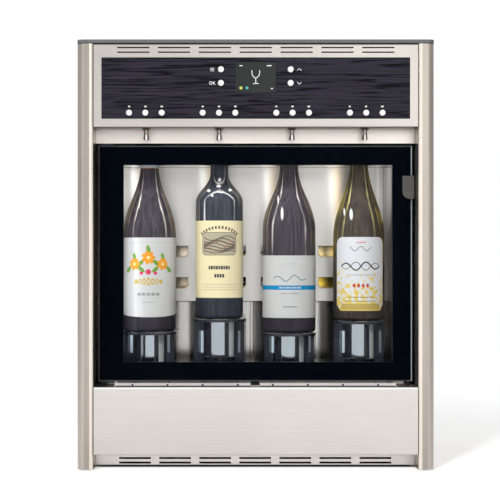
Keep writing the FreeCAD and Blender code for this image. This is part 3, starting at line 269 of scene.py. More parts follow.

# ---- Lower front panel and drip tray ----
# The machine box is closed by a folded steel front. Its top edge holds a trough with a
# loose steel tray, whose rear wall has a row of small drain holes.

# Painted highlight: faces of the lower front that look partly upward, its rounded bends, turn near white and less
# metallic.
bend_painted_highlight_stops = ((0.0, 0.0), (0.15, 0.0), (0.35, 1.0), (0.88, 1.0), (0.97, 0.0), (1.0, 0.0))
lower_steel = brushed_metal("lower_steel", (0.80, 0.755, 0.715), (0.94, 0.905, 0.87), (0.30, 0.40), along_x)
tree = lower_steel.node_tree
bend_painted_highlight = ramp(tree, along(tree, "Z", "Normal"), bend_painted_highlight_stops)
give(lower_steel, {"Base Color": blend(tree, bend_painted_highlight, joined(lower_steel), (0.97, 0.97, 0.97)),
                   "Metallic": remap(tree, bend_painted_highlight, 0.0, 1.0, 1.0, 0.1)})
dress("lower_front_panel", lower_steel)

tray_low, tray_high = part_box("drip_tray")
tray_wall = 1.0 * mm
tray_hole_drop = 2.4 * mm
tray_hole_pitch = 53.0 * mm
tray_hole_width = 3.0 * mm
tray_hole_count = 8
# Painted shade on the tray: its rear wall goes dark below a line 3.3 to 4 mm under its top, and its front 2 mm are
# dark.
tray_wall_painted_shade = (tray_high.z - 4.0 * mm, tray_high.z - 3.3 * mm, 0.12, 1.0)
tray_lip_painted_shade = (tray_low.y + 2.0 * mm, tray_low.y + 4.0 * mm, 0.16, 1.0)
tray_steel = brushed_metal("tray_steel", (0.90, 0.885, 0.87), (1.0, 0.99, 0.975), (0.22, 0.34), along_x)
tree = tray_steel.node_tree
ahead_of_wall = maths(tree, "LESS_THAN", along(tree, "Y"), tray_high.y - 2.0 * mm)
tray_painted_shade_share = maths(tree, "MAXIMUM", remap(tree, along(tree, "Z"), *tray_wall_painted_shade), ahead_of_wall)
dimmed(tray_steel, maths(tree, "MULTIPLY", tray_painted_shade_share, remap(tree, along(tree, "Y"), *tray_lip_painted_shade)))
dress("drip_tray", give(tray_steel, {"Metallic": 0.5}))


def ride_and_slot(piece, body):
    """Lets a piece move with a body."""
    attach(piece, body)
    return piece


def piece_of(name, shape, finish, sharp=None):
    """Turns a finished shape into a piece, smooth up to a sharp angle in degrees where one is given."""
    bmesh.ops.recalc_face_normals(shape, faces=shape.faces)
    for face in shape.faces:
        face.smooth = sharp is not None
    mesh = bpy.data.meshes.new(name)
    shape.to_mesh(mesh)
    shape.free()
    if sharp is not None:
        mesh.set_sharp_from_angle(angle=math.radians(sharp))
    mesh.materials.append(finish)
    piece = bpy.data.objects.new(name, mesh)
    bpy.context.scene.collection.objects.link(piece)
    return piece


def thicken(shape, depth):
    """Pulls the faces of a flat shape out to a given y, and closes the sides."""
    made = bmesh.ops.extrude_face_region(shape, geom=shape.faces[:])
    for v in (g for g in made["geom"] if isinstance(g, bmesh.types.BMVert)):
        v.co.y = depth


def oval(x, z, wide, tall, turn=0.0, steps=20):
    """A turned oval about a point."""
    c, s = math.cos(turn), math.sin(turn)
    points = [(wide / 2 * math.cos(a), tall / 2 * math.sin(a)) for a in
              (2 * math.pi * k / steps for k in range(steps))]
    return [(x + p * c - q * s, z + p * s + q * c) for p, q in points]


mark_film = 0.08 * mm


def flat_marks(name, outlines, face, finish, body="cabinet"):
    """Small thin marks that stand a little in front of an upright face."""
    shape = bmesh.new()
    for outline in outlines:
        shape.faces.new([shape.verts.new((x, face, z)) for x, z in outline])
    thicken(shape, face - mark_film)
    return ride_and_slot(piece_of(name, shape, finish), body)


hole_shade = speckled("hole_shade", (0.008, 0.008, 0.009), (0.014, 0.014, 0.016), (0.7, 0.8), bump=0.0, specular=0.1)
flat_marks("tray_hole_shades", [oval((k - (tray_hole_count - 1) / 2) * tray_hole_pitch, tray_high.z - tray_hole_drop,
                                     tray_hole_width, tray_hole_width) for k in range(tray_hole_count)],
           tray_high.y - tray_wall / 2, hole_shade, body="drip_tray")

# ---- Fascia and spout panel ----
# The head's front is a folded steel frame with two rows of air slots. Below it, set
# back over the door, runs a plain steel strip behind the taps.

# Painted shade darkens the slot edges and folds of both. The tap strip takes a brighter copy of the steel, as painted
# light in its shade under the head.
dress("fascia_frame", painted_shade_on_returns(brushed_metal("fascia_steel", (0.66, 0.615, 0.57), (0.80, 0.755, 0.71),
                                                 (0.30, 0.40), along_x), 0.12))
dress("spout_panel", painted_shade_on_returns(brushed_metal("strip_steel", (0.96, 0.865, 0.775), (1.0, 0.955, 0.90),
                                                (0.30, 0.40), along_x), 0.15))

# ---- Top cover ----
# A dark grey powder-coated plate with round corners stands on a lip, which leaves a
# thin shadow line above the panels.

dress("top_cover", speckled("cover_paint", (0.096, 0.098, 0.102), (0.150, 0.153, 0.160), (0.38, 0.5), bump=0.15,
                            grain=1500.0), edge=0.8 * mm)

# ---- Rear cover, screws and power inlet ----
# A flat painted sheet closes the back, held by pan-head screws. It has air slots behind
# the fan, and the moulded inlet with its rocker switch stands in a cut-out.

dress("rear_cover", speckled("rear_paint", (0.42, 0.42, 0.41), (0.52, 0.52, 0.51), (0.42, 0.55), bump=0.15,
                             grain=1400.0))
dress("housing_screws", brushed_metal("screw_zinc", (0.55, 0.56, 0.57), (0.72, 0.73, 0.74), (0.25, 0.4), along_x),
      edge=0.5 * mm)
dress("power_inlet", speckled("inlet_black", (0.012, 0.012, 0.013), (0.03, 0.03, 0.032), (0.35, 0.5)))
dress("power_switch", speckled("rocker_black", (0.015, 0.015, 0.015), (0.03, 0.03, 0.03), (0.18, 0.28), bump=0.04),
      edge=0.4 * mm)

# ---- Tank ----
# The tank is a liner of bright steel in cut foam. Its back is a louvred steel panel
# with two plain plates set back below it.

back_low, back_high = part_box("tank_back_panels")
chamber_front = back_low.y + 6.0 * mm
louvre_middle = back_high.z - 151.0 * mm
chamber_sides = (30.0 * mm, 90.0 * mm)
chamber_levels = (louvre_middle + 8.0 * mm, louvre_middle - 8.0 * mm)
# Painted light in the liner: behind the louvred panel, brown and gold tones stand in for lit reflections, lighter or
# darker by level within each row of openings; the right-hand wall has light and dark bands set by depth.
chamber_painted_light_colours = (((0.62, 0.53, 0.43), (0.40, 0.33, 0.25)), ((0.62, 0.49, 0.24), (0.66, 0.46, 0.06)))
opening_levels = (louvre_middle - 49.0 * mm, louvre_middle + 31.0 * mm)
opening_painted_shade = ((0.0, 1.6), (0.075, 1.6), (0.15, 1.4), (0.21, 0.9), (0.29, 0.45), (0.30, 1.0), (0.70, 1.6),
                 (0.78, 1.4), (0.84, 0.9), (0.92, 0.4), (1.0, 0.4))
wall_line = back_high.x - 8.0 * mm
wall_depths = (back_low.y - 150.0 * mm, back_low.y)
wall_painted_light_bands = ((0.0, 0.45), (0.19, 0.45), (0.23, 1.15), (0.38, 1.15), (0.42, 0.95), (0.58, 0.95), (0.68, 0.42),
              (1.0, 0.42))
liner_steel = brushed_metal("liner_steel", (0.62, 0.575, 0.545), (0.71, 0.67, 0.64), (0.12, 0.18), along_z,
                            bump=0.02)
tree = liner_steel.node_tree
aside, depth, level = [along(tree, axis) for axis in "XYZ"]
lower_part = remap(tree, level, *chamber_levels)
left_tone, right_tone = [blend(tree, lower_part, *pair) for pair in chamber_painted_light_colours]
chamber_tone = scaled(tree, blend(tree, remap(tree, aside, *chamber_sides), left_tone, right_tone),
                      ramp(tree, remap(tree, level, *opening_levels), opening_painted_shade))
wall_tone = times(tree, joined(liner_steel), blend(
    tree, maths(tree, "GREATER_THAN", aside, wall_line), (1, 1, 1),
    ramp(tree, remap(tree, depth, *wall_depths), wall_painted_light_bands)))
give(liner_steel, {"Base Color": blend(tree, maths(tree, "GREATER_THAN", depth, chamber_front), wall_tone,
                                       chamber_tone)})
dress("tank_liner", liner_steel)

# Painted light and shade on the back panel: the lower plates are darker as painted shade, with a painted shadow line
# under their top; dark bands set by X paint the lifts' reflections in them, and one thin dark line marks the seam
# between the plates; the louvred panel is painted lighter near its ends; the hoods take a painted reflection, brown
# facing up and pale gold facing down.
lower_plates_top = 247.0 * mm
lower_plates_painted_shade = 0.72
lower_plates_gloss = 0.45
painted_shadow_under_edge = (lower_plates_top - 1.6 * mm, lower_plates_top - 2.4 * mm, 0.30, lower_plates_painted_shade)
hood_front = back_low.y + 3.0 * mm
hood_painted_reflections = ((0.45, 0.36, 0.22), (0.80, 0.66, 0.42))
back_half = 208.0
lower_plates_painted_reflections = ((-208.0, 1.0), (-106.0, 1.0), (-101.0, 0.16), (-86.0, 0.10), (-82.0, 1.0), (-6.4, 1.0), (-5.9, 0.5),
            (-4.6, 0.5), (-4.1, 1.0), (-2.0, 0.95), (2.0, 0.32), (6.0, 0.12), (18.0, 0.07), (22.0, 1.0),
            (102.0, 1.0), (106.0, 0.5), (110.0, 0.12), (134.0, 0.06), (138.0, 1.0), (208.0, 1.0))
louvred_painted_light_edges = ((-208.0, 1.38), (-198.0, 1.34), (-190.0, 1.0), (198.5, 1.0), (200.0, 1.36), (202.5, 1.30),
             (204.0, 1.05), (208.0, 1.0))
back_steel = brushed_metal("back_steel", (0.70, 0.675, 0.645), (0.78, 0.755, 0.725), (0.30, 0.36), along_z,
                           bump=0.02)
tree = back_steel.node_tree
aside, depth, level = [along(tree, axis) for axis in "XYZ"]
upper = maths(tree, "GREATER_THAN", level, lower_plates_top)
across = remap(tree, aside, -back_half * mm, back_half * mm)
plates, louvred = [ramp(tree, across, [((x / back_half + 1) / 2, share) for x, share in stops])
                   for stops in (lower_plates_painted_reflections, louvred_painted_light_edges)]
back_tone = scaled(tree, times(tree, joined(back_steel), blend(tree, upper, plates, louvred)),
                   maths(tree, "MAXIMUM", upper, remap(tree, level, *painted_shadow_under_edge)))
hood_tone = blend(tree, remap(tree, along(tree, "Z", "Normal"), 0.25, -0.35), *hood_painted_reflections)
give(back_steel, {
    "Base Color": blend(tree, maths(tree, "LESS_THAN", depth, hood_front), back_tone, hood_tone),
    "Roughness": maths(tree, "MULTIPLY", joined(back_steel, "Roughness"),
                       maths(tree, "MAXIMUM", upper, lower_plates_gloss))})
dress("tank_back_panels", back_steel)
dress("tank_insulation", speckled("foam", (0.70, 0.64, 0.44), (0.84, 0.79, 0.60), (0.85, 0.95), bump=0.6,
                                  grain=500.0))

# ---- Bottle lifts ----
# A bottle stands on a round platform, whose smoked tube runs in a well in the tank's
# floor. Inside hangs a glossy sleeve with a rounded lower end, over the gas ram.

lift_segments = 96


def rounded(points, radii, steps=6):
    """A run of (radius, level) points with its corners rounded to the given radii."""
    out = []
    for i, corner in enumerate(points):
        size = radii.get(i, 0)
        if not size:
            out.append(tuple(corner))
            continue
        here = Vector(corner)
        before = Vector(points[i - 1]) - here
        after = Vector(points[(i + 1) % len(points)]) - here
        reach = min(size / math.tan(before.angle(after) / 2), before.length * 0.49, after.length * 0.49)
        start, end = here + before.normalized() * reach, here + after.normalized() * reach
        for k in range(steps + 1):
            t = k / steps
            out.append(tuple(start * (1 - t) ** 2 + here * 2 * t * (1 - t) + end * t ** 2))
    return out


def lathe(name, profile, centre, finish, segments=lift_segments, sharp=35, ahead=False):
    """A turned piece from (radius, level) points, about an upright axis or one that runs to the rear."""
    shape = bmesh.new()
    rings = []
    for radius, level in profile:
        ring = []
        for k in range(segments if radius > 1e-7 else 1):
            a = 2 * math.pi * k / segments
            one, other = ((centre[0] + radius * math.cos(a), centre[1] + radius * math.sin(a))
                          if radius > 1e-7 else centre)
            ring.append(shape.verts.new((one, level, other) if ahead else (one, other, level)))
        rings.append(ring)
    closed = profile[0][0] > 1e-7 and profile[-1][0] > 1e-7
    for low, high in list(zip(rings, rings[1:])) + ([(rings[-1], rings[0])] if closed else []):
        for k in range(segments):
            m = (k + 1) % segments
            corners = [low[k % len(low)], low[m % len(low)], high[m % len(high)], high[k % len(high)]]
            corners = [c for n, c in enumerate(corners) if c not in corners[:n]]
            if len(corners) > 2:
                shape.faces.new(corners)
    return piece_of(name, shape, finish, sharp)


def half_ring(name, inner, outer, levels, centre, finish, steps=48):
    """An upright half ring with closed ends, open to the front."""
    shape = bmesh.new()
    rings = []
    for k in range(steps + 1):
        a = math.pi * k / steps
        rings.append([shape.verts.new((centre[0] + r * math.cos(a), centre[1] + r * math.sin(a), z))
                      for r, z in ((inner, levels[0]), (outer, levels[0]), (outer, levels[1]), (inner, levels[1]))])
    for low, high in zip(rings, rings[1:]):
        for k in range(4):
            m = (k + 1) % 4
            shape.faces.new((low[k], low[m], high[m], high[k]))
    shape.faces.new(rings[0])
    shape.faces.new(rings[-1])
    return piece_of(name, shape, finish, 35)


def turned_way(tree, axis):
    """How far a turned piece's surface looks along an axis, from 0 to 1."""
    return remap(tree, along(tree, axis, "Normal"), -1.0, 1.0)


def level_in(tree, low, high):
    """One between two levels of the piece at rest, and nothing outside them."""
    level = along(tree, "Z")
    return maths(tree, "MULTIPLY", maths(tree, "GREATER_THAN", level, low), maths(tree, "LESS_THAN", level, high))


# Painted reflections on the smoked tubes: pale strips set by the way the surface faces, within a band of levels, where
# the tube is also less clear.
tube_painted_reflections = ((0.0, 0.0), (0.113, 0.0), (0.122, 0.45), (0.143, 0.45), (0.150, 0.0), (0.158, 0.0), (0.165, 1.0),
               (0.188, 1.0), (0.196, 0.0), (0.855, 0.0), (0.864, 0.7), (0.885, 0.7), (0.894, 0.0), (1.0, 0.0))
tube_reflection_levels = (170.0 * mm, 203.5 * mm)
smoked = material("smoked_tube", (0.012, 0.013, 0.020), 0.05)
tree = smoked.node_tree
facing = add(tree, "ShaderNodeLayerWeight", {"Blend": 0.18}).outputs["Facing"]
strip = maths(tree, "MULTIPLY", ramp(tree, turned_way(tree, "X"), tube_painted_reflections), level_in(tree, *tube_reflection_levels))
give(smoked, {"Base Color": blend(tree, strip, (0.012, 0.014, 0.024), (0.56, 0.66, 0.74)),
              "Alpha": maths(tree, "MAXIMUM", remap(tree, facing, 0.25, 1.0, 0.10, 0.75), strip)})

# Painted highlight: a broken tan line round each platform's rounded upper rim.
platform_rim_painted_highlight = ((0.0, 0.0), (0.72, 0.0), (0.80, 1.0), (0.90, 1.0), (0.96, 0.0), (1.0, 0.0))
platform_gloss = speckled("platform_gloss", (0.012, 0.014, 0.024), (0.022, 0.026, 0.040), (0.08, 0.14), bump=0.01)
tree = platform_gloss.node_tree
rim_highlight_share = maths(tree, "MULTIPLY", ramp(tree, turned_way(tree, "Z"), platform_rim_painted_highlight),
                  remap(tree, noise(tree, spot_of(tree), 60.0, 2.0), 0.40, 0.60, 0.05))
give(platform_gloss, {"Base Color": blend(tree, rim_highlight_share, joined(platform_gloss), (0.80, 0.72, 0.62))})

# Painted reflections on each sleeve, set by the way its surface faces: a pale metallic band across its middle, a pale
# strip on its right side and a pale arc round its rounded foot; the rest is near black.
sleeve_front_painted_reflection = ((0.0, 0.0), (0.235, 0.0), (0.25, 1.0), (0.66, 1.0), (0.675, 0.0), (1.0, 0.0))
sleeve_side_painted_reflection = ((0.0, 0.0), (0.80, 0.0), (0.815, 1.0), (0.96, 1.0), (0.975, 0.0), (1.0, 0.0))
sleeve_foot_painted_highlight = ((0.0, 0.0), (0.13, 0.0), (0.17, 0.8), (0.22, 0.8), (0.26, 0.0), (1.0, 0.0))
sleeve_gloss = brushed_metal("sleeve_gloss", (0.62, 0.68, 0.74), (0.74, 0.80, 0.86), (0.05, 0.09), along_z,
                             bump=0.0)
tree = sleeve_gloss.node_tree
right_way, up_way = turned_way(tree, "X"), turned_way(tree, "Z")
front_reflection_share = ramp(tree, right_way, sleeve_front_painted_reflection)
side_reflection_share = maths(tree, "MAXIMUM", ramp(tree, right_way, sleeve_side_painted_reflection), ramp(tree, up_way, sleeve_foot_painted_highlight))
sleeve_body = blend(tree, front_reflection_share, (0.016, 0.018, 0.030), joined(sleeve_gloss))
give(sleeve_gloss, {"Base Color": blend(tree, side_reflection_share, sleeve_body, (0.94, 1.0, 1.0)), "Metallic": front_reflection_share})

liner_black = give(brushed_metal("liner_black", (0.010, 0.012, 0.022), (0.034, 0.040, 0.066), (0.25, 0.35), along_z,
                                 bump=0.03), {"Metallic": 0.2})
rod_steel = brushed_metal("rod_steel", (0.55, 0.56, 0.58), (0.72, 0.73, 0.75), (0.12, 0.2), along_x)
dress("lift_guides", speckled("ram_black", (0.010, 0.010, 0.012), (0.03, 0.03, 0.034), (0.3, 0.45), bump=0.08))

rim_round = 0.9 * mm
lower_rim_round = 0.4 * mm
lift_wall = 2.5 * mm
lift_plate = 5.0 * mm
plate_film = 0.1 * mm
tube_length = 115.0 * mm
sleeve_radius = 24.5 * mm
sleeve_wall = 3.0 * mm
sleeve_length = 61.0 * mm
sleeve_round = 9.0 * mm
sleeve_hole = 15.0 * mm
sleeve_inside = sleeve_radius - sleeve_wall
seam_below_top = 34.0 * mm
seam_half = 0.45 * mm
seam_radius = sleeve_radius - 0.6 * mm
half_liner_gap = 0.5 * mm
rod_radius = 6.0 * mm
piston_radius = 8.9 * mm
piston_height = 8.0 * mm
for n in (1, 2, 3, 4):
    low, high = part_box("lift_plunger_%d" % n)
    centre = ((low.x + high.x) / 2, (low.y + high.y) / 2)
    radius, top = (high.x - low.x) / 2, high.z
    plate, seam, bottom, foot = top - lift_plate, top - seam_below_top, top - sleeve_length, top - tube_length
    platform = lathe("lift_platform_%d" % n, rounded(
        [(0, top), (radius, top), (radius, plate + plate_film), (0, plate + plate_film)],
        {1: rim_round, 2: lower_rim_round}), centre, platform_gloss)
    tube = lathe("lift_tube_%d" % n, rounded(
        [(radius, plate), (radius, foot), (radius - lift_wall, foot), (radius - lift_wall, plate)],
        {1: rim_round, 2: rim_round}), centre, smoked)
    sleeve = lathe("lift_sleeve_%d" % n, rounded(
        [(sleeve_radius, plate), (sleeve_radius, seam + seam_half), (seam_radius, seam + seam_half),
         (seam_radius, seam - seam_half), (sleeve_radius, seam - seam_half), (sleeve_radius, bottom),
         (sleeve_hole, bottom), (sleeve_hole, bottom + sleeve_wall), (sleeve_inside, bottom + sleeve_wall),
         (sleeve_inside, plate)], {5: sleeve_round, 8: sleeve_round - sleeve_wall}, steps=14), centre, sleeve_gloss)
    liner = half_ring("lift_liner_%d" % n, sleeve_radius + half_liner_gap, radius - lift_wall - half_liner_gap,
                      (foot + 1 * mm, plate - 0.2 * mm), centre, liner_black)
    rod = lathe("lift_rod_%d" % n, [(0, plate), (rod_radius, plate), (rod_radius, low.z + piston_height),
                                    (piston_radius, low.z + piston_height), (piston_radius, low.z), (0, low.z)],
                centre, rod_steel)
    for piece in (platform, tube, sleeve, liner, rod):
        ride_and_slot(piece, "lift_%d" % n)
    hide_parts("lift_plunger_%d" % n)

# ---- Bottles ----
# Four dark glass wine bottles, two of one sloping shape, one with high shoulders and one
# of a softer shape, each with a paper label wrapped round its front.

bottle_segments = 128
bottle_wall = 3.5 * mm
neck_radius = 14.2 * mm
bore_radius = 9.3 * mm
ring_height = 14.0 * mm
ring_out = 1.0 * mm
punt_depth = 22.0 * mm
heel_round = 7.0 * mm
foot_width = 5.0 * mm
shoulder_easing = 0.4
shoulder_steps = 28


def shoulder(radius, start, end_radius, end):
    """Points of the soft run from the body to the neck."""
    ease = shoulder_easing * (end - start)
    run = []
    for k in range(shoulder_steps + 1):
        t = k / shoulder_steps
        blend_in = 3 * t * t * (1 - t) + t ** 3
        level = ((1 - t) ** 3 * start + 3 * t * (1 - t) ** 2 * (start + ease)
                 + 3 * t * t * (1 - t) * (end - ease) + t ** 3 * end)
        run.append((radius + (end_radius - radius) * blend_in, level))
    return run


def wine_bottle(name, node, shoulder_level, neck_level, finish):
    """A hollow bottle: punt, round heel, body, shoulder, neck and a ring at the mouth."""
    low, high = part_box(node)
    centre = ((low.x + high.x) / 2, (low.y + high.y) / 2)
    radius, base, top = (high.x - low.x) / 2, low.z, high.z
    outside = [(0, base + punt_depth), (radius * 0.45, base + punt_depth * 0.62),
               (radius - heel_round - foot_width, base + 0.5 * mm), (radius - heel_round - foot_width / 2, base)]
    outside += [(radius - heel_round * (1 - math.sin(a)), base + heel_round * (1 - math.cos(a)))
                for a in (math.pi / 2 * k / 10 for k in range(11))]
    outside += shoulder(radius, base + shoulder_level, neck_radius, base + neck_level)
    outside += rounded([(neck_radius, top - ring_height - 1 * mm), (neck_radius, top - ring_height),
                        (neck_radius + ring_out, top - ring_height), (neck_radius + ring_out, top),
                        (bore_radius, top)], {2: 0.6 * mm, 3: 1.5 * mm, 4: 1.0 * mm})
    inside = shoulder(radius - bottle_wall, base + shoulder_level, bore_radius, base + neck_level)[::-1]
    inside += [(radius - bottle_wall, base + heel_round), (radius * 0.75, base + bottle_wall + 1 * mm),
               (0, base + punt_depth + bottle_wall)]
    return lathe(name, outside + inside, centre, finish, segments=bottle_segments), centre, radius


# Painted glints and highlights on the bottles' glass.
painted_glint_run = ((0.0, 0.0), (0.198, 0.0), (0.212, 1.0), (0.226, 0.85), (0.240, 0.0), (1.0, 0.0))
painted_fringe_run = ((0.0, 0.0), (0.225, 0.0), (0.245, 0.75), (0.262, 0.0), (0.42, 0.0), (0.45, 0.85), (0.48, 0.08),
              (0.66, 0.30), (0.80, 0.80), (1.0, 1.0))
wine_levels = (0.14, 0.33)
line_levels = (0.27, 0.47)
painted_glint_by_level = ((0.0, 0.0), (0.12, 0.05), (0.38, 0.55), (0.56, 1.0), (0.74, 0.95), (1.0, 0.5))
streak_stretch = (260.0, 260.0, 14.0)
painted_spark_tone = (0.97, 0.96, 0.93)
painted_sparks = ((42.5, 385.0, 2.6, 12.0), (36.8, 407.0, 1.2, 8.0), (149.6, 384.0, 3.0, 10.5),
                 (139.6, 388.0, 1.5, 7.5), (-70.9, 421.0, 3.2, 2.8), (-55.6, 428.0, 4.4, 2.6),
                 (-37.8, 422.0, 3.2, 2.8), (-65.5, 413.0, 2.2, 2.2), (-54.2, 438.0, 3.0, 4.0))


def painted_spark_share(tree, place):
    """One at small painted highlights on the shoulders, where the tank's lamps would show, else nothing."""
    share = 0.0
    for aside, level, wide, tall in painted_sparks:
        away = add(tree, "ShaderNodeVectorMath", {0: place, 1: (aside * mm, 0, level * mm)}, operation="SUBTRACT")
        size = times(tree, away.outputs[0], (1 / (wide * mm), 0, 1 / (tall * mm)))
        reach = add(tree, "ShaderNodeVectorMath", {0: size}, operation="LENGTH").outputs["Value"]
        share = maths(tree, "MAXIMUM", remap(tree, reach, 1.0, 0.55), share)
    return share


def dark_glass(name, foot, upper, glint, fringe):
    """Glass with red wine behind it, with painted glints: a bright line and a tinted fringe along each side, strongest
    at the shoulders, and small painted highlights.
    """
    made = material(name, upper, 0.04)
    tree = made.node_tree
    place, level = spot_of(tree), along(tree, "Z")
    streak = noise(tree, times(tree, place, streak_stretch), 1.0, 3.0)
    tone = scaled(tree, blend(tree, remap(tree, level, *wine_levels), foot, upper),
                  remap(tree, streak, 0.35, 0.65, 0.55, 1.15))
    facing = add(tree, "ShaderNodeLayerWeight", {"Blend": 0.5}).outputs["Facing"]
    turned_away = maths(tree, "ADD", facing, remap(tree, streak, 0.0, 1.0, -0.03, 0.03))
    patchy = remap(tree, noise(tree, place, 26.0, 2.0), 0.38, 0.56, 0.25)
    strength = maths(tree, "MULTIPLY", patchy, ramp(tree, remap(tree, level, *line_levels), painted_glint_by_level))
    for run, colour in ((painted_glint_run, glint), (painted_fringe_run, fringe)):
        tone = blend(tree, maths(tree, "MULTIPLY", ramp(tree, turned_away, run), strength), tone, colour)
    return give(made, {"Base Color": blend(tree, painted_spark_share(tree, place), tone, painted_spark_tone),
                       "Normal": bump_of(tree, streak, 0.05, 1 * mm), "IOR": 1.52, "Specular IOR Level": 0.12})


def wrapped(name, outlines, centre, level, inner, outer, finish, step=1.5 * mm):
    """A thin closed piece of paper or ink, bent round a bottle. Outlines are in (across, up) millimetres."""
    flat = bmesh.new()
    for outline in outlines:
        flat.faces.new([flat.verts.new((x * mm, 0, z * mm)) for x, z in outline])
    bmesh.ops.triangulate(flat, faces=flat.faces, ngon_method="EAR_CLIP")
    cuts = int(max(abs(v.co.x) for v in flat.verts) / step) + 1
    for k in range(-cuts, cuts + 1):
        everything = flat.verts[:] + flat.edges[:] + flat.faces[:]
        bmesh.ops.bisect_plane(flat, geom=everything, plane_co=(k * step, 0, 0), plane_no=(1, 0, 0), dist=1e-7)
    thicken(flat, -1.0)
    for v in flat.verts:
        turn, reach = v.co.x / inner, outer if v.co.y < -0.5 else inner
        v.co = (centre[0] + reach * math.sin(turn), centre[1] - reach * math.cos(turn), level + v.co.z)
    return piece_of(name, flat, finish, 30)


def corner_run(x, z, radius, start, steps):
    """A quarter circle about a point, from a start angle in degrees."""
    return [(x + radius * math.cos(a), z + radius * math.sin(a))
            for a in (math.radians(start + 90 * k / steps) for k in range(steps + 1))]


def sheet_outline(wide, tall, corner, steps=8, z=0):
    """A rectangle with round corners about a point on the middle line."""
    return [point for sx, sz, start in ((1, 1, 0), (-1, 1, 90), (-1, -1, 180), (1, -1, 270)) for point in
            corner_run(sx * (wide / 2 - corner), z + sz * (tall / 2 - corner), corner, start, steps)]


def bar(x, z, wide, tall):
    """A small upright rectangle about a point."""
    return [(x - wide / 2, z - tall / 2), (x + wide / 2, z - tall / 2),
            (x + wide / 2, z + tall / 2), (x - wide / 2, z + tall / 2)]


def ribbon(points, width):
    """Quads of one width along an open run of points."""
    run = [Vector(p) for p in points]
    sides = []
    for i, p in enumerate(run):
        ahead = run[min(i + 1, len(run) - 1)] - run[max(i - 1, 0)]
        across = Vector((-ahead.y, ahead.x)).normalized() * width / 2
        sides.append((p - across, p + across))
    return [[tuple(a), tuple(c), tuple(d), tuple(b)] for (a, b), (c, d) in zip(sides, sides[1:])]


def paper(name, dark, light):
    """Label stock or ink: matt, with faint fibres."""
    return speckled(name, dark, light, (0.55, 0.7), bump=0.05, grain=2500.0, patches=60.0, specular=0.12)


label_stock = 0.12 * mm
ink_film = 0.05 * mm
label_turn = math.radians(98)
glass_dark = dark_glass("bottle_dark", (0.016, 0.017, 0.024), (0.070, 0.058, 0.073), (0.92, 0.88, 0.84),
                        (0.50, 0.40, 0.26))
glass_cool = dark_glass("bottle_cool", (0.016, 0.020, 0.030), (0.052, 0.056, 0.075), (0.90, 0.90, 0.90),
                        (0.50, 0.44, 0.34))
glass_olive = dark_glass("bottle_olive", (0.020, 0.017, 0.020), (0.082, 0.063, 0.050), (0.97, 0.88, 0.42),
                         (0.74, 0.58, 0.08))
white_paper = paper("paper_white", (0.57, 0.56, 0.555), (0.65, 0.64, 0.635))
cream_paper = paper("paper_cream", (0.82, 0.70, 0.42), (0.92, 0.82, 0.54))
inks = {name: paper("ink_" + name, dark, light) for name, dark, light in (
    ("black", (0.02, 0.02, 0.02), (0.05, 0.05, 0.05)),
    ("grey", (0.22, 0.22, 0.22), (0.32, 0.32, 0.32)),
    ("pale_grey", (0.42, 0.42, 0.42), (0.52, 0.52, 0.52)),
    ("gold", (0.50, 0.34, 0.06), (0.66, 0.48, 0.12)),
    ("orange", (0.80, 0.25, 0.02), (0.90, 0.42, 0.05)),
    ("yellow", (0.80, 0.66, 0.22), (0.86, 0.78, 0.42)),
    ("green", (0.10, 0.26, 0.03), (0.22, 0.42, 0.08)),
    ("pink", (0.60, 0.03, 0.10), (0.75, 0.08, 0.18)),
    ("red", (0.50, 0.03, 0.02), (0.62, 0.06, 0.04)),
    ("blue", (0.0, 0.19, 0.46), (0.01, 0.32, 0.60)),
    ("teal", (0.10, 0.20, 0.24), (0.18, 0.30, 0.34)),
    ("brown", (0.10, 0.08, 0.06), (0.20, 0.17, 0.13)),
    ("tan", (0.42, 0.36, 0.26), (0.55, 0.48, 0.36)),
    ("rust", (0.34, 0.17, 0.11), (0.46, 0.26, 0.18)),
    ("sky", (0.45, 0.62, 0.80), (0.55, 0.72, 0.88)),
    ("yellow_deep", (0.50, 0.35, 0.08), (0.58, 0.44, 0.14)))}

bottle_facts = {1: (150.0 * mm, 262.0 * mm, glass_dark), 2: (181.0 * mm, 226.0 * mm, glass_cool),
                3: (160.0 * mm, 262.0 * mm, glass_dark), 4: (128.0 * mm, 250.0 * mm, glass_olive)}
bottle_axes = {}
for n, (shoulder_level, neck_level, glass) in bottle_facts.items():
    bottle, centre, radius = wine_bottle("wine_bottle_%d" % n, "bottle_%d" % n, shoulder_level, neck_level, glass)
    ride_and_slot(bottle, "lift_%d" % n)
    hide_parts("bottle_%d" % n)
    bottle_axes[n] = (centre, radius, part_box("bottle_%d" % n)[0].z)


def label_on(n, foot, tall, stock, outline=None):
    """The paper of one bottle's label, and a printer for inks in its own (across, up) millimetres."""
    centre, radius, base = bottle_axes[n]
    middle = base + (foot + tall / 2) * mm
    outline = outline or sheet_outline(2 * label_turn * radius / mm, tall, 1.5)
    sheet = wrapped("label_%d" % n, [outline], centre, middle, radius, radius + label_stock, stock)
    ride_and_slot(sheet, "lift_%d" % n)

    def ink(name, outlines, colour, layer=1):
        inner = radius + label_stock + (layer - 1) * ink_film
        piece = wrapped("label_%d_%s" % (n, name), outlines, centre, middle, inner, inner + ink_film,
                        inks.get(colour, colour))
        return ride_and_slot(piece, "lift_%d" % n)
    return ink


def stroke_row(x, z, widths, tall, gap):
    """A row of small bars, as an ornament."""
    start = x - (sum(widths) + gap * (len(widths) - 1)) / 2
    bars = []
    for wide in widths:
        bars.append(bar(start + wide / 2, z, wide, tall))
        start += wide + gap
    return bars


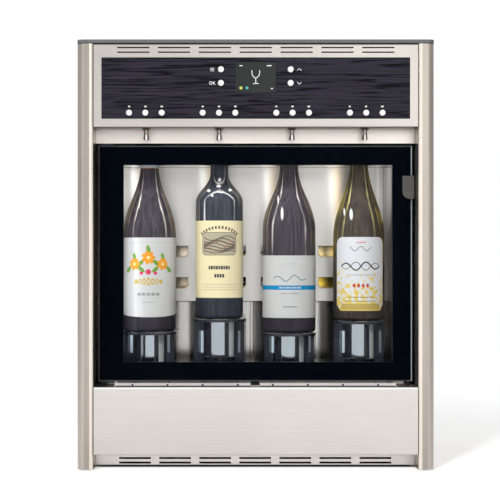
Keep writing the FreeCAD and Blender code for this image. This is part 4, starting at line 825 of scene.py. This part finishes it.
def arc_row(x, z, reach, half_turn, count, wide, tall):
    """A row of small bars that follows an arch."""
    bars = []
    for k in range(count):
        a = half_turn * (2 * k / (count - 1) - 1)
        c, t = math.cos(a), math.sin(a)
        bars.append([(x + (reach + q) * t + p * c, z + (reach + q) * c - p * t)
                     for p, q in ((-wide / 2, 0), (wide / 2, 0), (wide / 2, tall), (-wide / 2, tall))])
    return bars


# Bottle 1: a spray of orange blossoms with green leaves over a gold ornament.
bowed = sheet_outline(2 * label_turn * 41.5, 118.0, 1.5)
bow_half, bow_deep, bow_steps = 62.0, 5.0, 24
bowed[27:27] = [(bow_half * t, -59.0 - bow_deep * (1 - t * t))
                for t in (2 * k / bow_steps - 1 for k in range(bow_steps + 1))]
ink = label_on(1, 28.0, 118.0, white_paper, bowed)
blossoms = ((-23, 18, 19), (0, 28, 21), (23, 18, 19))
ink("leaves", [oval(x + side * size * 0.62, z - size * 0.42, size * 0.75, size * 0.3, side * -0.7)
               for x, z, size in blossoms for side in (-1, 1)]
    + [oval(x, z + size * 0.62, size * 0.3, size * 0.6, 0.25) for x, z, size in blossoms]
    + [oval(side * 36, 8, 9, 3.4, side * 0.5) for side in (-1, 1)], "green")
ink("petals", [oval(x + size * 0.27 * math.cos(a), z + size * 0.27 * math.sin(a), size * 0.52, size * 0.30, a)
               for x, z, size in blossoms for a in (2 * math.pi * k / 7 for k in range(7))], "orange", 2)
ink("hearts", [oval(x, z, size * 0.26, size * 0.26) for x, z, size in blossoms], "yellow", 3)
ink("buds", [oval(side * 11, 4, 5.5, 5.5) for side in (-1, 1)] + [oval(0, 6, 8.5, 8.5)], "pink", 2)
ink("rules", [bar(0, 51.5, 130, 0.5), bar(0, -34.5, 64, 0.45)], "pale_grey")
ink("gold", [oval(k * 6.6, -9, 5.8, 13 - abs(k) * 2.0) for k in (-3, -2, -1, 0, 1, 2, 3)], "gold")
ink("gold_gaps", [oval(k * 6.6, -9, 2.2, 5.6) for k in (-2, -1, 0, 1, 2)], white_paper, 2)
ink("row", stroke_row(0, -28.5, [3.6, 1.4] * 4 + [3.6], 4.4, 1.3), "grey")
ink("small_row", stroke_row(0, -41, [2.6, 1.0] * 3 + [2.6], 2.6, 1.0), "pale_grey")

# Bottle 2: a tall cream label with rolling hills in a wide frame, under an arch of dots.
ink = label_on(2, 32.7, 119.5, cream_paper)
hills_middle = 24
ink("frame", [sheet_outline(58, 36, 7, z=hills_middle)], "brown")
ink("sky", [sheet_outline(56.4, 34.4, 6.2, z=hills_middle)], "tan", 2)
hills = []
for row, lift in enumerate((8.5, 5.0, 1.5, -2.0, -5.5, -9.0, -12.5)):
    hills += ribbon([(t, hills_middle + lift + (3.4 - 0.25 * row) * math.sin(t / 7.5 + row * 0.9))
                     for t in range(-26, 27, 2)], 1.5 + 0.4 * (row % 3))
ink("hills", hills, "brown", 3)
ink("fields", [oval(x, hills_middle + z, 7, 2.2, turn) for x, z, turn in
               ((-17, -3, 0.5), (-5, 2, -0.4), (8, -6, 0.4), (18, 4, -0.5), (-10, -9, 0.2), (14, -1, 0.6))],
    "rust", 4)
ink("arch", arc_row(0, -2, 49, 0.62, 13, 3.0, 4.6), "brown")
ink("row", stroke_row(0, -13, [2.4, 3.4] * 4 + [2.4], 5.4, 1.0), "black")
ink("short_row", stroke_row(0, -25.5, [3.0] * 4, 5.4, 1.0), "black")
ink("rules", [bar(0, z, 58, 0.7) for z in (-39, -43, -47)], "tan")

# Bottle 3: a white label with a wave line over a blue band.
ink = label_on(3, 23.8, 96.5, white_paper)
ink("rules", [bar(0, 44, 140, 0.45), bar(0, -45, 140, 0.45), bar(0, 32, 44, 0.6), bar(0, 35.5, 20, 0.8),
              bar(0, -12, 60, 0.45)], "pale_grey")
ink("wave", ribbon([(t, 13 + 5.4 * math.sin(t / 4.4) * (1 - abs(t) / 42)) for t in range(-27, 28)], 1.5), "teal")
ink("band", [bar(0, -1.5, 150, 6.8)], "blue")
ink("band_row", stroke_row(0, -1.5, [5, 3, 6, 3, 4, 7], 2.2, 1.4), white_paper, 2)
ink("row", stroke_row(0, -10, (9, 3, 12), 1.2, 1.8) + stroke_row(0, -31, (4, 10, 4), 2.0, 1.4), "grey")


# Bottle 4: a label with round upper and cut lower corners, speckled gold towards its foot.
def cut_outline(wide, tall, corner, cut, steps=10):
    """A rectangle whose upper corners are round and whose lower corners are cut off."""
    return [point for side, start in ((1, 0), (-1, 90)) for point in
            corner_run(side * (wide / 2 - corner), tall / 2 - corner, corner, start, steps)] + [
        (-wide / 2, cut - tall / 2), (cut - wide / 2, -tall / 2), (wide / 2 - cut, -tall / 2),
        (wide / 2, cut - tall / 2)]


def speckled_paper(name, plain, gold, levels):
    """White paper whose gold speckle thickens towards the lower edge."""
    made = paper(name, plain, plain)
    tree = made.node_tree
    spots = noise(tree, spot_of(tree), 150.0, 3.0, 0.6)
    over_limit = maths(tree, "SUBTRACT", spots, remap(tree, along(tree, "Z"), *levels, 0.42, 0.66))
    return give(made, {"Base Color": blend(tree, remap(tree, over_limit, 0.0, 0.05), plain, gold)})


paper_turn = math.radians(62)
foot_4, tall_4 = 15.8, 114.0
low_4 = bottle_axes[4][2] + foot_4 * mm
gold_speckled = speckled_paper("paper_gold_speckled", (0.74, 0.74, 0.77), (0.78, 0.58, 0.13),
                               (low_4 + 4 * mm, low_4 + 88 * mm))
ink = label_on(4, foot_4, tall_4, gold_speckled,
               cut_outline(2 * paper_turn * bottle_axes[4][1] / mm, tall_4, 13, 9))
ink("foot_band", [[(-33, -46), (33, -46), (33, -55), (-33, -55)]], "yellow_deep")
for name, side, width, layer in (("loops", 1, 2.0, 2), ("loops_back", -1, 1.0, 1)):
    ink(name, ribbon([(t, 12 + side * 7.0 * math.sin(t / 5.2) * (1 - abs(t) / 70)) for t in range(-33, 34)], width),
        "black", layer)
ink("scroll", ribbon([(t, 39 + 3.4 * math.cos(t / 3.0)) for t in range(-17, 18)], 1.3), "grey")
ink("crest", [oval(x, 48.5, 4.0, 1.8) for x in (-5, 0, 5)], "pink")
ink("diamonds", [[(x - 2.6, -18), (x, -14), (x + 2.6, -18), (x, -22)] for x in (-10.5, -3.5, 3.5, 10.5)], "red")
ink("rules", [bar(0, -1.5, 46, 0.6), bar(0, -36, 40, 0.8), bar(0, -42, 52, 0.9)], "brown")

# Bottle 1 keeps the lower end of its cut foil below the tank's ceiling.
foil_film = 0.3 * mm
for name, z0, z1, finish in (("orange", 454.0 * mm, 457.0 * mm, inks["orange"]),
                             ("white", 457.0 * mm, 459.2 * mm, white_paper),
                             ("blue", 459.2 * mm, 461.4 * mm, inks["sky"])):
    foil = lathe("foil_" + name, [(neck_radius, z0), (neck_radius + foil_film, z0), (neck_radius + foil_film, z1),
                                  (neck_radius, z1)], bottle_axes[1][0], finish, segments=64)
    ride_and_slot(foil, "lift_1")

# ---- Door ----
# Two panes are held apart by a black frame. The front pane is larger, with a black
# border printed on its back, and carries a clamped finger tab on its free edge.

# Lamp rays go straight through the panes, so that the tank is lit.
pane_tint = (0.985, 0.99, 0.99)
pane_ior = 1.07
door_glass = give(material("door_glass", pane_tint, 0.0), {"Transmission Weight": 1.0, "IOR": pane_ior})
tree = door_glass.node_tree
straight = add(tree, "ShaderNodeBsdfTransparent", {"Color": (*pane_tint, 1)}).outputs["BSDF"]
ray = add(tree, "ShaderNodeLightPath").outputs
lamp_or_bounce = maths(tree, "MAXIMUM", ray["Is Shadow Ray"], ray["Is Diffuse Ray"])
both = add(tree, "ShaderNodeMixShader", {0: lamp_or_bounce, 1: shader_of(door_glass).outputs["BSDF"], 2: straight})
fill(tree, tree.nodes["Material Output"], {"Surface": both.outputs["Shader"]})
for node in ("door_outer_glass", "door_inner_glass"):
    dress(node, door_glass)
dress("door_spacer_frame", speckled("frame_black", (0.006, 0.008, 0.012), (0.012, 0.015, 0.020), (0.35, 0.5),
                                    bump=0.05))
dress("door_gasket", speckled("gasket_rubber", (0.012, 0.012, 0.012), (0.025, 0.025, 0.025), (0.6, 0.75), bump=0.2))
dress("door_handle", speckled("tab_grey", (0.066, 0.066, 0.058), (0.100, 0.100, 0.090), (0.35, 0.45), bump=0.06,
                              specular=0.3), edge=0.6 * mm)
dress("door_brackets", speckled("bracket_black", (0.008, 0.008, 0.010), (0.018, 0.018, 0.020), (0.5, 0.6),
                                bump=0.08, specular=0.08), edge=0.3 * mm)

border_clear = ((-199.6 * mm, 208.1 * mm), (158.6 * mm, 457.5 * mm))
border_edge = 1.8 * mm
border_set = 0.4 * mm
border_film = 0.25 * mm


def block_ring(name, outer, inner, y, finish):
    """A flat upright ring with a rectangular outline and opening."""
    shape = bmesh.new()
    corners = [[(x0, z0), (x1, z0), (x1, z1), (x0, z1)] for (x0, x1), (z0, z1) in (outer, inner)]
    front_out, front_in, back_out, back_in = [[shape.verts.new((x, depth, z)) for x, z in loop]
                                              for depth in y for loop in corners]
    for k in range(4):
        m = (k + 1) % 4
        shape.faces.new((front_out[k], front_out[m], front_in[m], front_in[k]))
        shape.faces.new((back_out[m], back_out[k], back_in[k], back_in[m]))
        shape.faces.new((front_out[m], front_out[k], back_out[k], back_out[m]))
        shape.faces.new((front_in[k], front_in[m], back_in[m], back_in[k]))
    return piece_of(name, shape, finish)


border_ink = speckled("border_ink", (0.0006, 0.0014, 0.0030), (0.0010, 0.0022, 0.0046), (0.3, 0.4), bump=0.0,
                      specular=0.0)
pane_low, pane_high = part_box("door_outer_glass")
border_y = (pane_high.y - border_set - border_film, pane_high.y - border_set)
border = block_ring("door_border", ((pane_low.x + border_edge, pane_high.x - border_edge),
                                    (pane_low.z + border_edge, pane_high.z - border_edge)), border_clear,
                    border_y, border_ink)
ride_and_slot(border, "door")

tab_low, tab_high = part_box("door_handle")
tab_mark = speckled("tab_mark", (0.13, 0.13, 0.115), (0.17, 0.17, 0.15), (0.3, 0.4), bump=0.0)
tab_painted_groove_shade = speckled("tab_painted_groove_shade", (0.035, 0.035, 0.03), (0.05, 0.05, 0.045), (0.4, 0.5), bump=0.0)
# The tab's engraved oval is drawn as two flat rings: a dark one as painted shade in the groove and a paler one, 0.4 mm
# lower, as its painted highlight.
tab_oval = (12.0 * mm, 4.4 * mm)
tab_oval_at = ((tab_low.x + tab_high.x) / 2 - 0.6 * mm, tab_low.z + 6.8 * mm)
for name, lift, ahead, finish in (("tab_oval", 0.4 * mm, 0, tab_painted_groove_shade),
                                  ("tab_oval_edge", 0.0, mark_film / 2, tab_mark)):
    ring = oval(tab_oval_at[0], tab_oval_at[1] + lift, *tab_oval, steps=32)
    flat_marks(name, ribbon(ring + ring[:1], 0.7 * mm), tab_low.y - ahead, finish, body="door")


def bar_piece(name, x, y, z, finish, round_off):
    """A straight bar with eased edges between two corners."""
    shape = bmesh.new()
    corners = [shape.verts.new((x[i], y[j], z[k])) for i in (0, 1) for j in (0, 1) for k in (0, 1)]
    for face in ((0, 1, 3, 2), (4, 6, 7, 5), (0, 4, 5, 1), (2, 3, 7, 6), (0, 2, 6, 4), (1, 5, 7, 3)):
        shape.faces.new([corners[n] for n in face])
    bmesh.ops.recalc_face_normals(shape, faces=shape.faces)
    bmesh.ops.bevel(shape, geom=shape.edges[:], offset=round_off, segments=2, affect="EDGES")
    return piece_of(name, shape, finish)


edge_ground = speckled("edge_ground", (0.05, 0.06, 0.065), (0.09, 0.105, 0.11), (0.25, 0.35), bump=0.02)
edge_polished = speckled("edge_polished", (0.34, 0.42, 0.45), (0.50, 0.58, 0.60), (0.10, 0.16), bump=0.02)
edge_wide = 1.1 * mm
left, right = pane_low.x + border_set, pane_high.x - border_set
lower, upper = pane_low.z + border_set, pane_high.z - border_set
between = (left + edge_wide, right - edge_wide)
for name, x, z, finish in (("edge_free", (right - edge_wide, right), (lower, upper), edge_polished),
                           ("edge_hinged", (left, left + edge_wide), (lower, upper), edge_ground),
                           ("edge_upper", between, (upper - edge_wide, upper), edge_ground),
                           ("edge_lower", between, (lower, lower + edge_wide), edge_ground)):
    ride_and_slot(bar_piece(name, x, border_y, z, finish, 0.05 * mm), "door")

# ---- Control panel ----
# A black plate with a fine horizontal grain closes the head's front. Satin steel buttons
# stand through it in rows, and a small screen sits at its middle.

panel_grain = (5.5, 300.0, 225.0)
panel_fibre = (22.0, 300.0, 700.0)
panel_tones = ((0.0012, 0.0010, 0.0025), (0.034, 0.031, 0.046))
panel_black = material("panel_black", (0.02, 0.02, 0.022), 0.35)
tree = panel_black.node_tree
grain, fibre = [noise(tree, times(tree, spot_of(tree), stretch), 1.0, 2.0) for stretch in (panel_grain, panel_fibre)]
off_middle = maths(tree, "ABSOLUTE", maths(tree, "SUBTRACT", grain, 0.5))
even = maths(tree, "ADD", remap(tree, off_middle, 0.004, 0.055, 0.0, 0.72),
             remap(tree, fibre, 0.30, 0.70, -0.28, 0.28), use_clamp=True)
give(panel_black, {"Base Color": blend(tree, even, *panel_tones), "Specular IOR Level": 0.10,
                   "Roughness": remap(tree, fibre, 0.3, 0.7, 0.30, 0.45),
                   "Normal": bump_of(tree, even, 0.3, 0.2 * mm)})
dress("control_panel", panel_black, edge=0.3 * mm)
dress("display_module", speckled("screen_glass", (0.022, 0.027, 0.026), (0.030, 0.035, 0.033), (0.08, 0.12),
                                 bump=0.0, specular=0.15), edge=0.3 * mm)
dress("control_board", speckled("board_green", (0.01, 0.10, 0.04), (0.03, 0.18, 0.08), (0.35, 0.5)))
cap_steel = speckled("cap_steel", (0.78, 0.78, 0.77), (0.88, 0.88, 0.87), (0.22, 0.32), bump=0.02, metallic=0.35)
mark_white = speckled("mark_white", (0.70, 0.70, 0.70), (0.80, 0.80, 0.80), (0.4, 0.5), bump=0.0)
mark_amber = speckled("mark_amber", (0.50, 0.55, 0.10), (0.60, 0.65, 0.16), (0.4, 0.5), bump=0.0)
mark_teal = speckled("mark_teal", (0.05, 0.35, 0.32), (0.08, 0.42, 0.40), (0.4, 0.5), bump=0.0)
button_names = [name for name in nodes if "button" in name]
cap_radius = 4.5 * mm
cap_round = 0.9 * mm
cap_crown = 0.35 * mm


def button_place(name):
    """Middle of a button's cap: x and z."""
    low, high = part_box(name)
    return (low.x + high.x) / 2, (low.z + high.z) / 2


# Each cap is turned, and slightly crowned.
for name in button_names:
    low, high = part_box(name)
    front, back = low.y, high.y
    profile = [(0, front)] + [(cap_radius * k / 4, front + cap_crown * (k / 4) ** 2) for k in (1, 2, 3)]
    profile += rounded([(cap_radius * 0.76, front + cap_crown * 0.6), (cap_radius, front + cap_crown),
                        (cap_radius, back)], {1: cap_round})[1:] + [(0, back)]
    cap = lathe(name + "_cap", profile, button_place(name), cap_steel, segments=48, sharp=40, ahead=True)
    ride_and_slot(cap, name)
    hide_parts(name)

panel_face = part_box("control_panel")[0].y
pour_mark_rise = 9.5 * mm
pour_mark_wide = 4.4 * mm
pour_mark_half = 1.1 * mm
pour_shares = {"small": 0.45, "medium": 0.7, "large": 1.0}
pour_marks = []
for name in (name for name in button_names if name.startswith("dispense")):
    x, z = button_place(name)
    wide = pour_mark_wide * (0.55 + 0.45 * pour_shares[name.rsplit("_", 1)[1]])
    over, under = z + pour_mark_rise + pour_mark_half, z + pour_mark_rise - pour_mark_half
    pour_marks.append([(x - wide / 2, over), (x - wide * 0.32, under), (x + wide * 0.32, under), (x + wide / 2, over)])
flat_marks("pour_marks", pour_marks, panel_face, mark_white)

menu_mark_out = 13.0 * mm
x, z = button_place("menu_button_list")
flat_marks("list_mark", [bar(x - menu_mark_out, z + k * 2.0 * mm, 6.0 * mm, 0.8 * mm) for k in (-1, 0, 1)],
           panel_face, mark_white)
for name, way in (("menu_button_up", 1), ("menu_button_down", -1)):
    x, z = button_place(name)
    x += menu_mark_out
    peak = (x, z + way * 1.6 * mm)
    flat_marks(name + "_mark", ribbon([(x - 3.2 * mm, z - way * 1.6 * mm), peak], 0.9 * mm)
               + ribbon([peak, (x + 3.2 * mm, z - way * 1.6 * mm)], 0.9 * mm), panel_face, mark_white)

x, z = button_place("menu_button_ok")
letters = bpy.data.curves.new("ok_letters", "FONT")
letters.body = "OK"
letters.size = 6.4 * mm
letters.align_x, letters.align_y = "CENTER", "CENTER"
letters.extrude = mark_film / 2
letters.offset = 0.12 * mm
ok_mark = bpy.data.objects.new("ok_mark", letters)
ok_mark.location = (x - menu_mark_out, panel_face - mark_film / 2, z)
ok_mark.rotation_euler = (math.radians(90), 0, 0)
bpy.context.scene.collection.objects.link(ok_mark)
letters.materials.append(mark_white)
ride_and_slot(ok_mark, "cabinet")

screen_low, screen_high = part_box("display_module")
screen_middle = (screen_low.z + screen_high.z) / 2


def on_screen(name, outlines, finish):
    """Lit marks on the screen, from outlines in millimetres about its middle."""
    flat_marks(name, [[(x * mm, screen_middle + z * mm) for x, z in outline] for outline in outlines],
               screen_low.y, finish)


on_screen("screen_marks", [bar(-22, 17, 4.5, 1.4), bar(20, 17, 7, 1.6), bar(24, -17, 3, 1.4)], mark_white)
on_screen("screen_amber", [oval(-22, -16, 4.6, 4.6)], mark_amber)
on_screen("screen_teal", [oval(-13, -16, 4.6, 4.6)], mark_teal)
on_screen("screen_sign", ribbon([(-6, 10), (-5.2, 3), (-2.2, -0.5), (0, -1.2), (2.2, -0.5), (5.2, 3), (6, 10)], 1.2)
          + [bar(0, -5.5, 1.2, 8), bar(0, -9.6, 8, 1.2)], mark_white)

# ---- Taps, valves, heads and gas ----
# Polished tap tubes hang from pinch valves in the head. Moulded heads on the tank take
# the bottles' mouths, and clear tubes carry wine to the valves and gas from the rail.

dress("spouts", brushed_metal("tap_steel", (0.34, 0.31, 0.27), (0.46, 0.43, 0.38), (0.14, 0.22), along_z, bump=0.02))
spout_low, spout_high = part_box("spouts")
spout_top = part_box("fascia_frame")[0].z
bore = 3.55 * mm
tip_flare, tip_upper, tip_long = 4.2 * mm, 3.75 * mm, 7.0 * mm
collar_top, collar_foot, collar_tall = 8.0 * mm, 4.4 * mm, 2.6 * mm
# Painted highlight and shade on the tap tips: a bright, less metallic band down the middle and dark sides, set by the
# way the surface faces. Each tap's collar under the head is near black as painted shade.
tip_painted_highlight = ((0.0, 0.06), (0.22, 0.08), (0.36, 0.75), (0.64, 1.0), (0.78, 0.10), (1.0, 0.06))
tip_highlight_metal = ((0.0, 1.0), (0.34, 1.0), (0.40, 0.1), (0.60, 0.1), (0.66, 1.0), (1.0, 1.0))
collar_painted_shade = brushed_metal("collar_painted_shade", (0.10, 0.09, 0.08), (0.18, 0.16, 0.14), (0.3, 0.4), along_x)
tip_steel = brushed_metal("tip_steel", (0.90, 0.88, 0.85), (1.0, 0.98, 0.96), (0.14, 0.2), along_z, bump=0.0)
tree = tip_steel.node_tree
right_way = turned_way(tree, "X")
give(dimmed(tip_steel, ramp(tree, right_way, tip_painted_highlight)), {"Metallic": ramp(tree, right_way, tip_highlight_metal)})
for n in (1, 2, 3, 4):
    centre = (bottle_axes[n][0][0], (spout_low.y + spout_high.y) / 2)
    under, over = spout_top - collar_tall, spout_top - 0.1 * mm
    collar = lathe("spout_collar_%d" % n, [(bore, under), (collar_foot, under), (collar_top, over), (bore, over)],
                   centre, collar_painted_shade, 48)
    under, over = spout_low.z, spout_low.z + tip_long
    tip = lathe("spout_tip_%d" % n, rounded([(bore, under), (tip_flare, under), (tip_upper, over), (bore, over)],
                                            {1: 0.6 * mm}), centre, tip_steel, 48)
    for piece in (collar, tip):
        ride_and_slot(piece, "cabinet")
dress("solenoid_valves", brushed_metal("valve_metal", (0.45, 0.45, 0.46), (0.62, 0.62, 0.63), (0.3, 0.42), along_x),
      edge=0.4 * mm)
dress("dispensing_heads", speckled("head_black", (0.02, 0.02, 0.022), (0.05, 0.05, 0.055), (0.4, 0.55)))
dress("tubing", speckled("tube_milky", (0.62, 0.66, 0.68), (0.78, 0.82, 0.84), (0.15, 0.25), bump=0.02))
dress("gas_manifold", brushed_metal("brass", (0.55, 0.42, 0.18), (0.72, 0.58, 0.30), (0.2, 0.32), along_x),
      edge=0.3 * mm)

# ---- Cooling and power ----
# A cold sink in the tank and a hot sink behind it clamp the thermoelectric module. Each
# has its own fan, and a closed supply box stands on the base pan.

fan_black = speckled("fan_black", (0.015, 0.015, 0.016), (0.035, 0.035, 0.037), (0.4, 0.55), bump=0.08)
dress("heat_exchanger", brushed_metal("sink_aluminium", (0.58, 0.59, 0.60), (0.74, 0.75, 0.76), (0.3, 0.42), along_z))
for node in ("fan_frames", "tank_fan_rotor", "rear_fan_rotor"):
    dress(node, fan_black)
dress("power_supply", speckled("supply_paint", (0.36, 0.37, 0.38), (0.46, 0.47, 0.48), (0.4, 0.5)), edge=0.5 * mm)

# ---- Studio ----
# A pale floor, an even white surround, two soft lamps in front and small ones in the
# tank. The floor fades to white away from the object.

scene = bpy.context.scene
floor_half = 14.0
clear_aside, clear_ahead = 0.260, -0.150
floor_lift = 0.50
floor_fade = (0.45, 1.3)
floor_mesh = bpy.data.meshes.new("floor")
floor_mesh.from_pydata([(-floor_half, -floor_half, 0), (floor_half, -floor_half, 0),
                        (floor_half, floor_half, 0), (-floor_half, floor_half, 0)], [], [(0, 1, 2, 3)])
floor_finish = material("floor_pale", (0.86, 0.86, 0.86), 0.9)
tree = floor_finish.node_tree
ray = add(tree, "ShaderNodeLightPath").outputs
seen = maths(tree, "MAXIMUM", ray["Is Camera Ray"], ray["Is Transmission Ray"])
aside = maths(tree, "GREATER_THAN", maths(tree, "ABSOLUTE", along(tree, "X")), clear_aside)
clear = maths(tree, "MAXIMUM", aside, maths(tree, "LESS_THAN", along(tree, "Y"), clear_ahead))
lift = maths(tree, "MULTIPLY", maths(tree, "MULTIPLY", seen, clear), floor_lift)
glow, white = [add(tree, "ShaderNodeEmission", {"Color": (1, 1, 1, 1), "Strength": strength}).outputs["Emission"]
               for strength in (lift, 1.0)]
lit = add(tree, "ShaderNodeAddShader", {0: shader_of(floor_finish).outputs["BSDF"], 1: glow}).outputs["Shader"]
away = add(tree, "ShaderNodeVectorMath", {0: spot_of(tree)}, operation="LENGTH").outputs["Value"]
far = maths(tree, "MULTIPLY", remap(tree, away, *floor_fade, interpolation_type="SMOOTHSTEP"), seen)
both = add(tree, "ShaderNodeMixShader", {0: far, 1: lit, 2: white})
fill(tree, tree.nodes["Material Output"], {"Surface": both.outputs["Shader"]})
floor_mesh.materials.append(floor_finish)
floor = bpy.data.objects.new("floor", floor_mesh)
scene.collection.objects.link(floor)

surround_level = 0.45
world = bpy.data.worlds.new("studio")
world.use_nodes = True
scene.world = world
tree = world.node_tree
ray = add(tree, "ShaderNodeLightPath").outputs
mirror_level = remap(tree, along(tree, "Y", "Generated"), -0.95, -0.35, 0.84,
                     remap(tree, along(tree, "X", "Generated"), -0.7, 0.7, 0.42, 0.32))
mirror_level = blend(tree, ray["Is Glossy Ray"], surround_level, mirror_level, "FLOAT")
seen = maths(tree, "MAXIMUM", ray["Is Camera Ray"], ray["Is Transmission Ray"])
fill(tree, tree.nodes["Background"], {"Strength": blend(tree, seen, mirror_level, 1.0, "FLOAT"),
                                      "Color": (1, 1, 1, 1)})


def soft_lamp(name, place, target, size, power, tone=(1, 1, 1), roll=0.0, **hidden):
    """A rectangular lamp that points at a place on the object, turned about its own line."""
    lamp = bpy.data.lights.new(name, "AREA")
    lamp.shape = "RECTANGLE"
    lamp.size, lamp.size_y = size
    lamp.energy = power
    lamp.color = tone
    made = bpy.data.objects.new(name, lamp)
    made.location = place
    facing = (Vector(target) - Vector(place)).to_track_quat("-Z", "Y")
    made.rotation_euler = (facing @ Quaternion((0, 0, 1), roll)).to_euler()
    scene.collection.objects.link(made)
    for key, value in hidden.items():
        setattr(made, key, value)


object_middle = (0, 0, 0.32)
soft_lamp("lamp_key", (-1.0, -3.2, 2.1), object_middle, (0.4, 0.4), 88.0, visible_glossy=False)
soft_lamp("lamp_front", (0.9, -2.6, 0.9), object_middle, (1.8, 1.6), 5.0, (1.0, 0.985, 0.965))

tank_cool = (0.92, 0.96, 1.0)
tank_warm = (1.0, 0.68, 0.25)
strip_level, strip_tall = 0.388, 0.143
for n, (x, cool, warm) in enumerate(((-0.1905, 0.0070, 0.0014), (-0.079, 0.0040, 0.0018), (0.0245, 0.0040, 0.0022),
                                     (0.130, 0.0036, 0.0042))):
    for tone, aside, wide, power in ((tank_cool, 0.0, 0.009, cool), (tank_warm, 0.0085, 0.008, warm)):
        soft_lamp("tank_strip_%d" % (n + 1), (x + aside, -0.020, strip_level), (x + aside, 0.005, strip_level),
                  (wide, strip_tall), power, tone, math.radians(2.5), visible_camera=False, visible_diffuse=False)
soft_lamp("tank_lamp_ceiling", (0.0, -0.128, 0.450), (0.0, -0.09, 0.20), (0.40, 0.012), 0.10, tank_cool,
          visible_camera=False, visible_glossy=False)
soft_lamp("tank_lamp_corner", (-0.208, -0.122, 0.310), bottle_axes[1][0] + (0.310,), (0.006, 0.26), 0.05, tank_cool,
          visible_camera=False, visible_glossy=False)

camera_data = bpy.data.cameras.new("camera")
camera_data.sensor_width = 36.0
camera_data.lens = 111.4
camera_data.shift_x = 0.049
camera_data.shift_y = 0.010
camera_data.clip_end = 100.0
camera = bpy.data.objects.new("camera", camera_data)
camera.location = (-0.045, -2.495, 0.321)
camera.rotation_euler = (math.radians(90), 0, 0)
scene.collection.objects.link(camera)
scene.camera = camera
scene.view_settings.view_transform = "Standard"
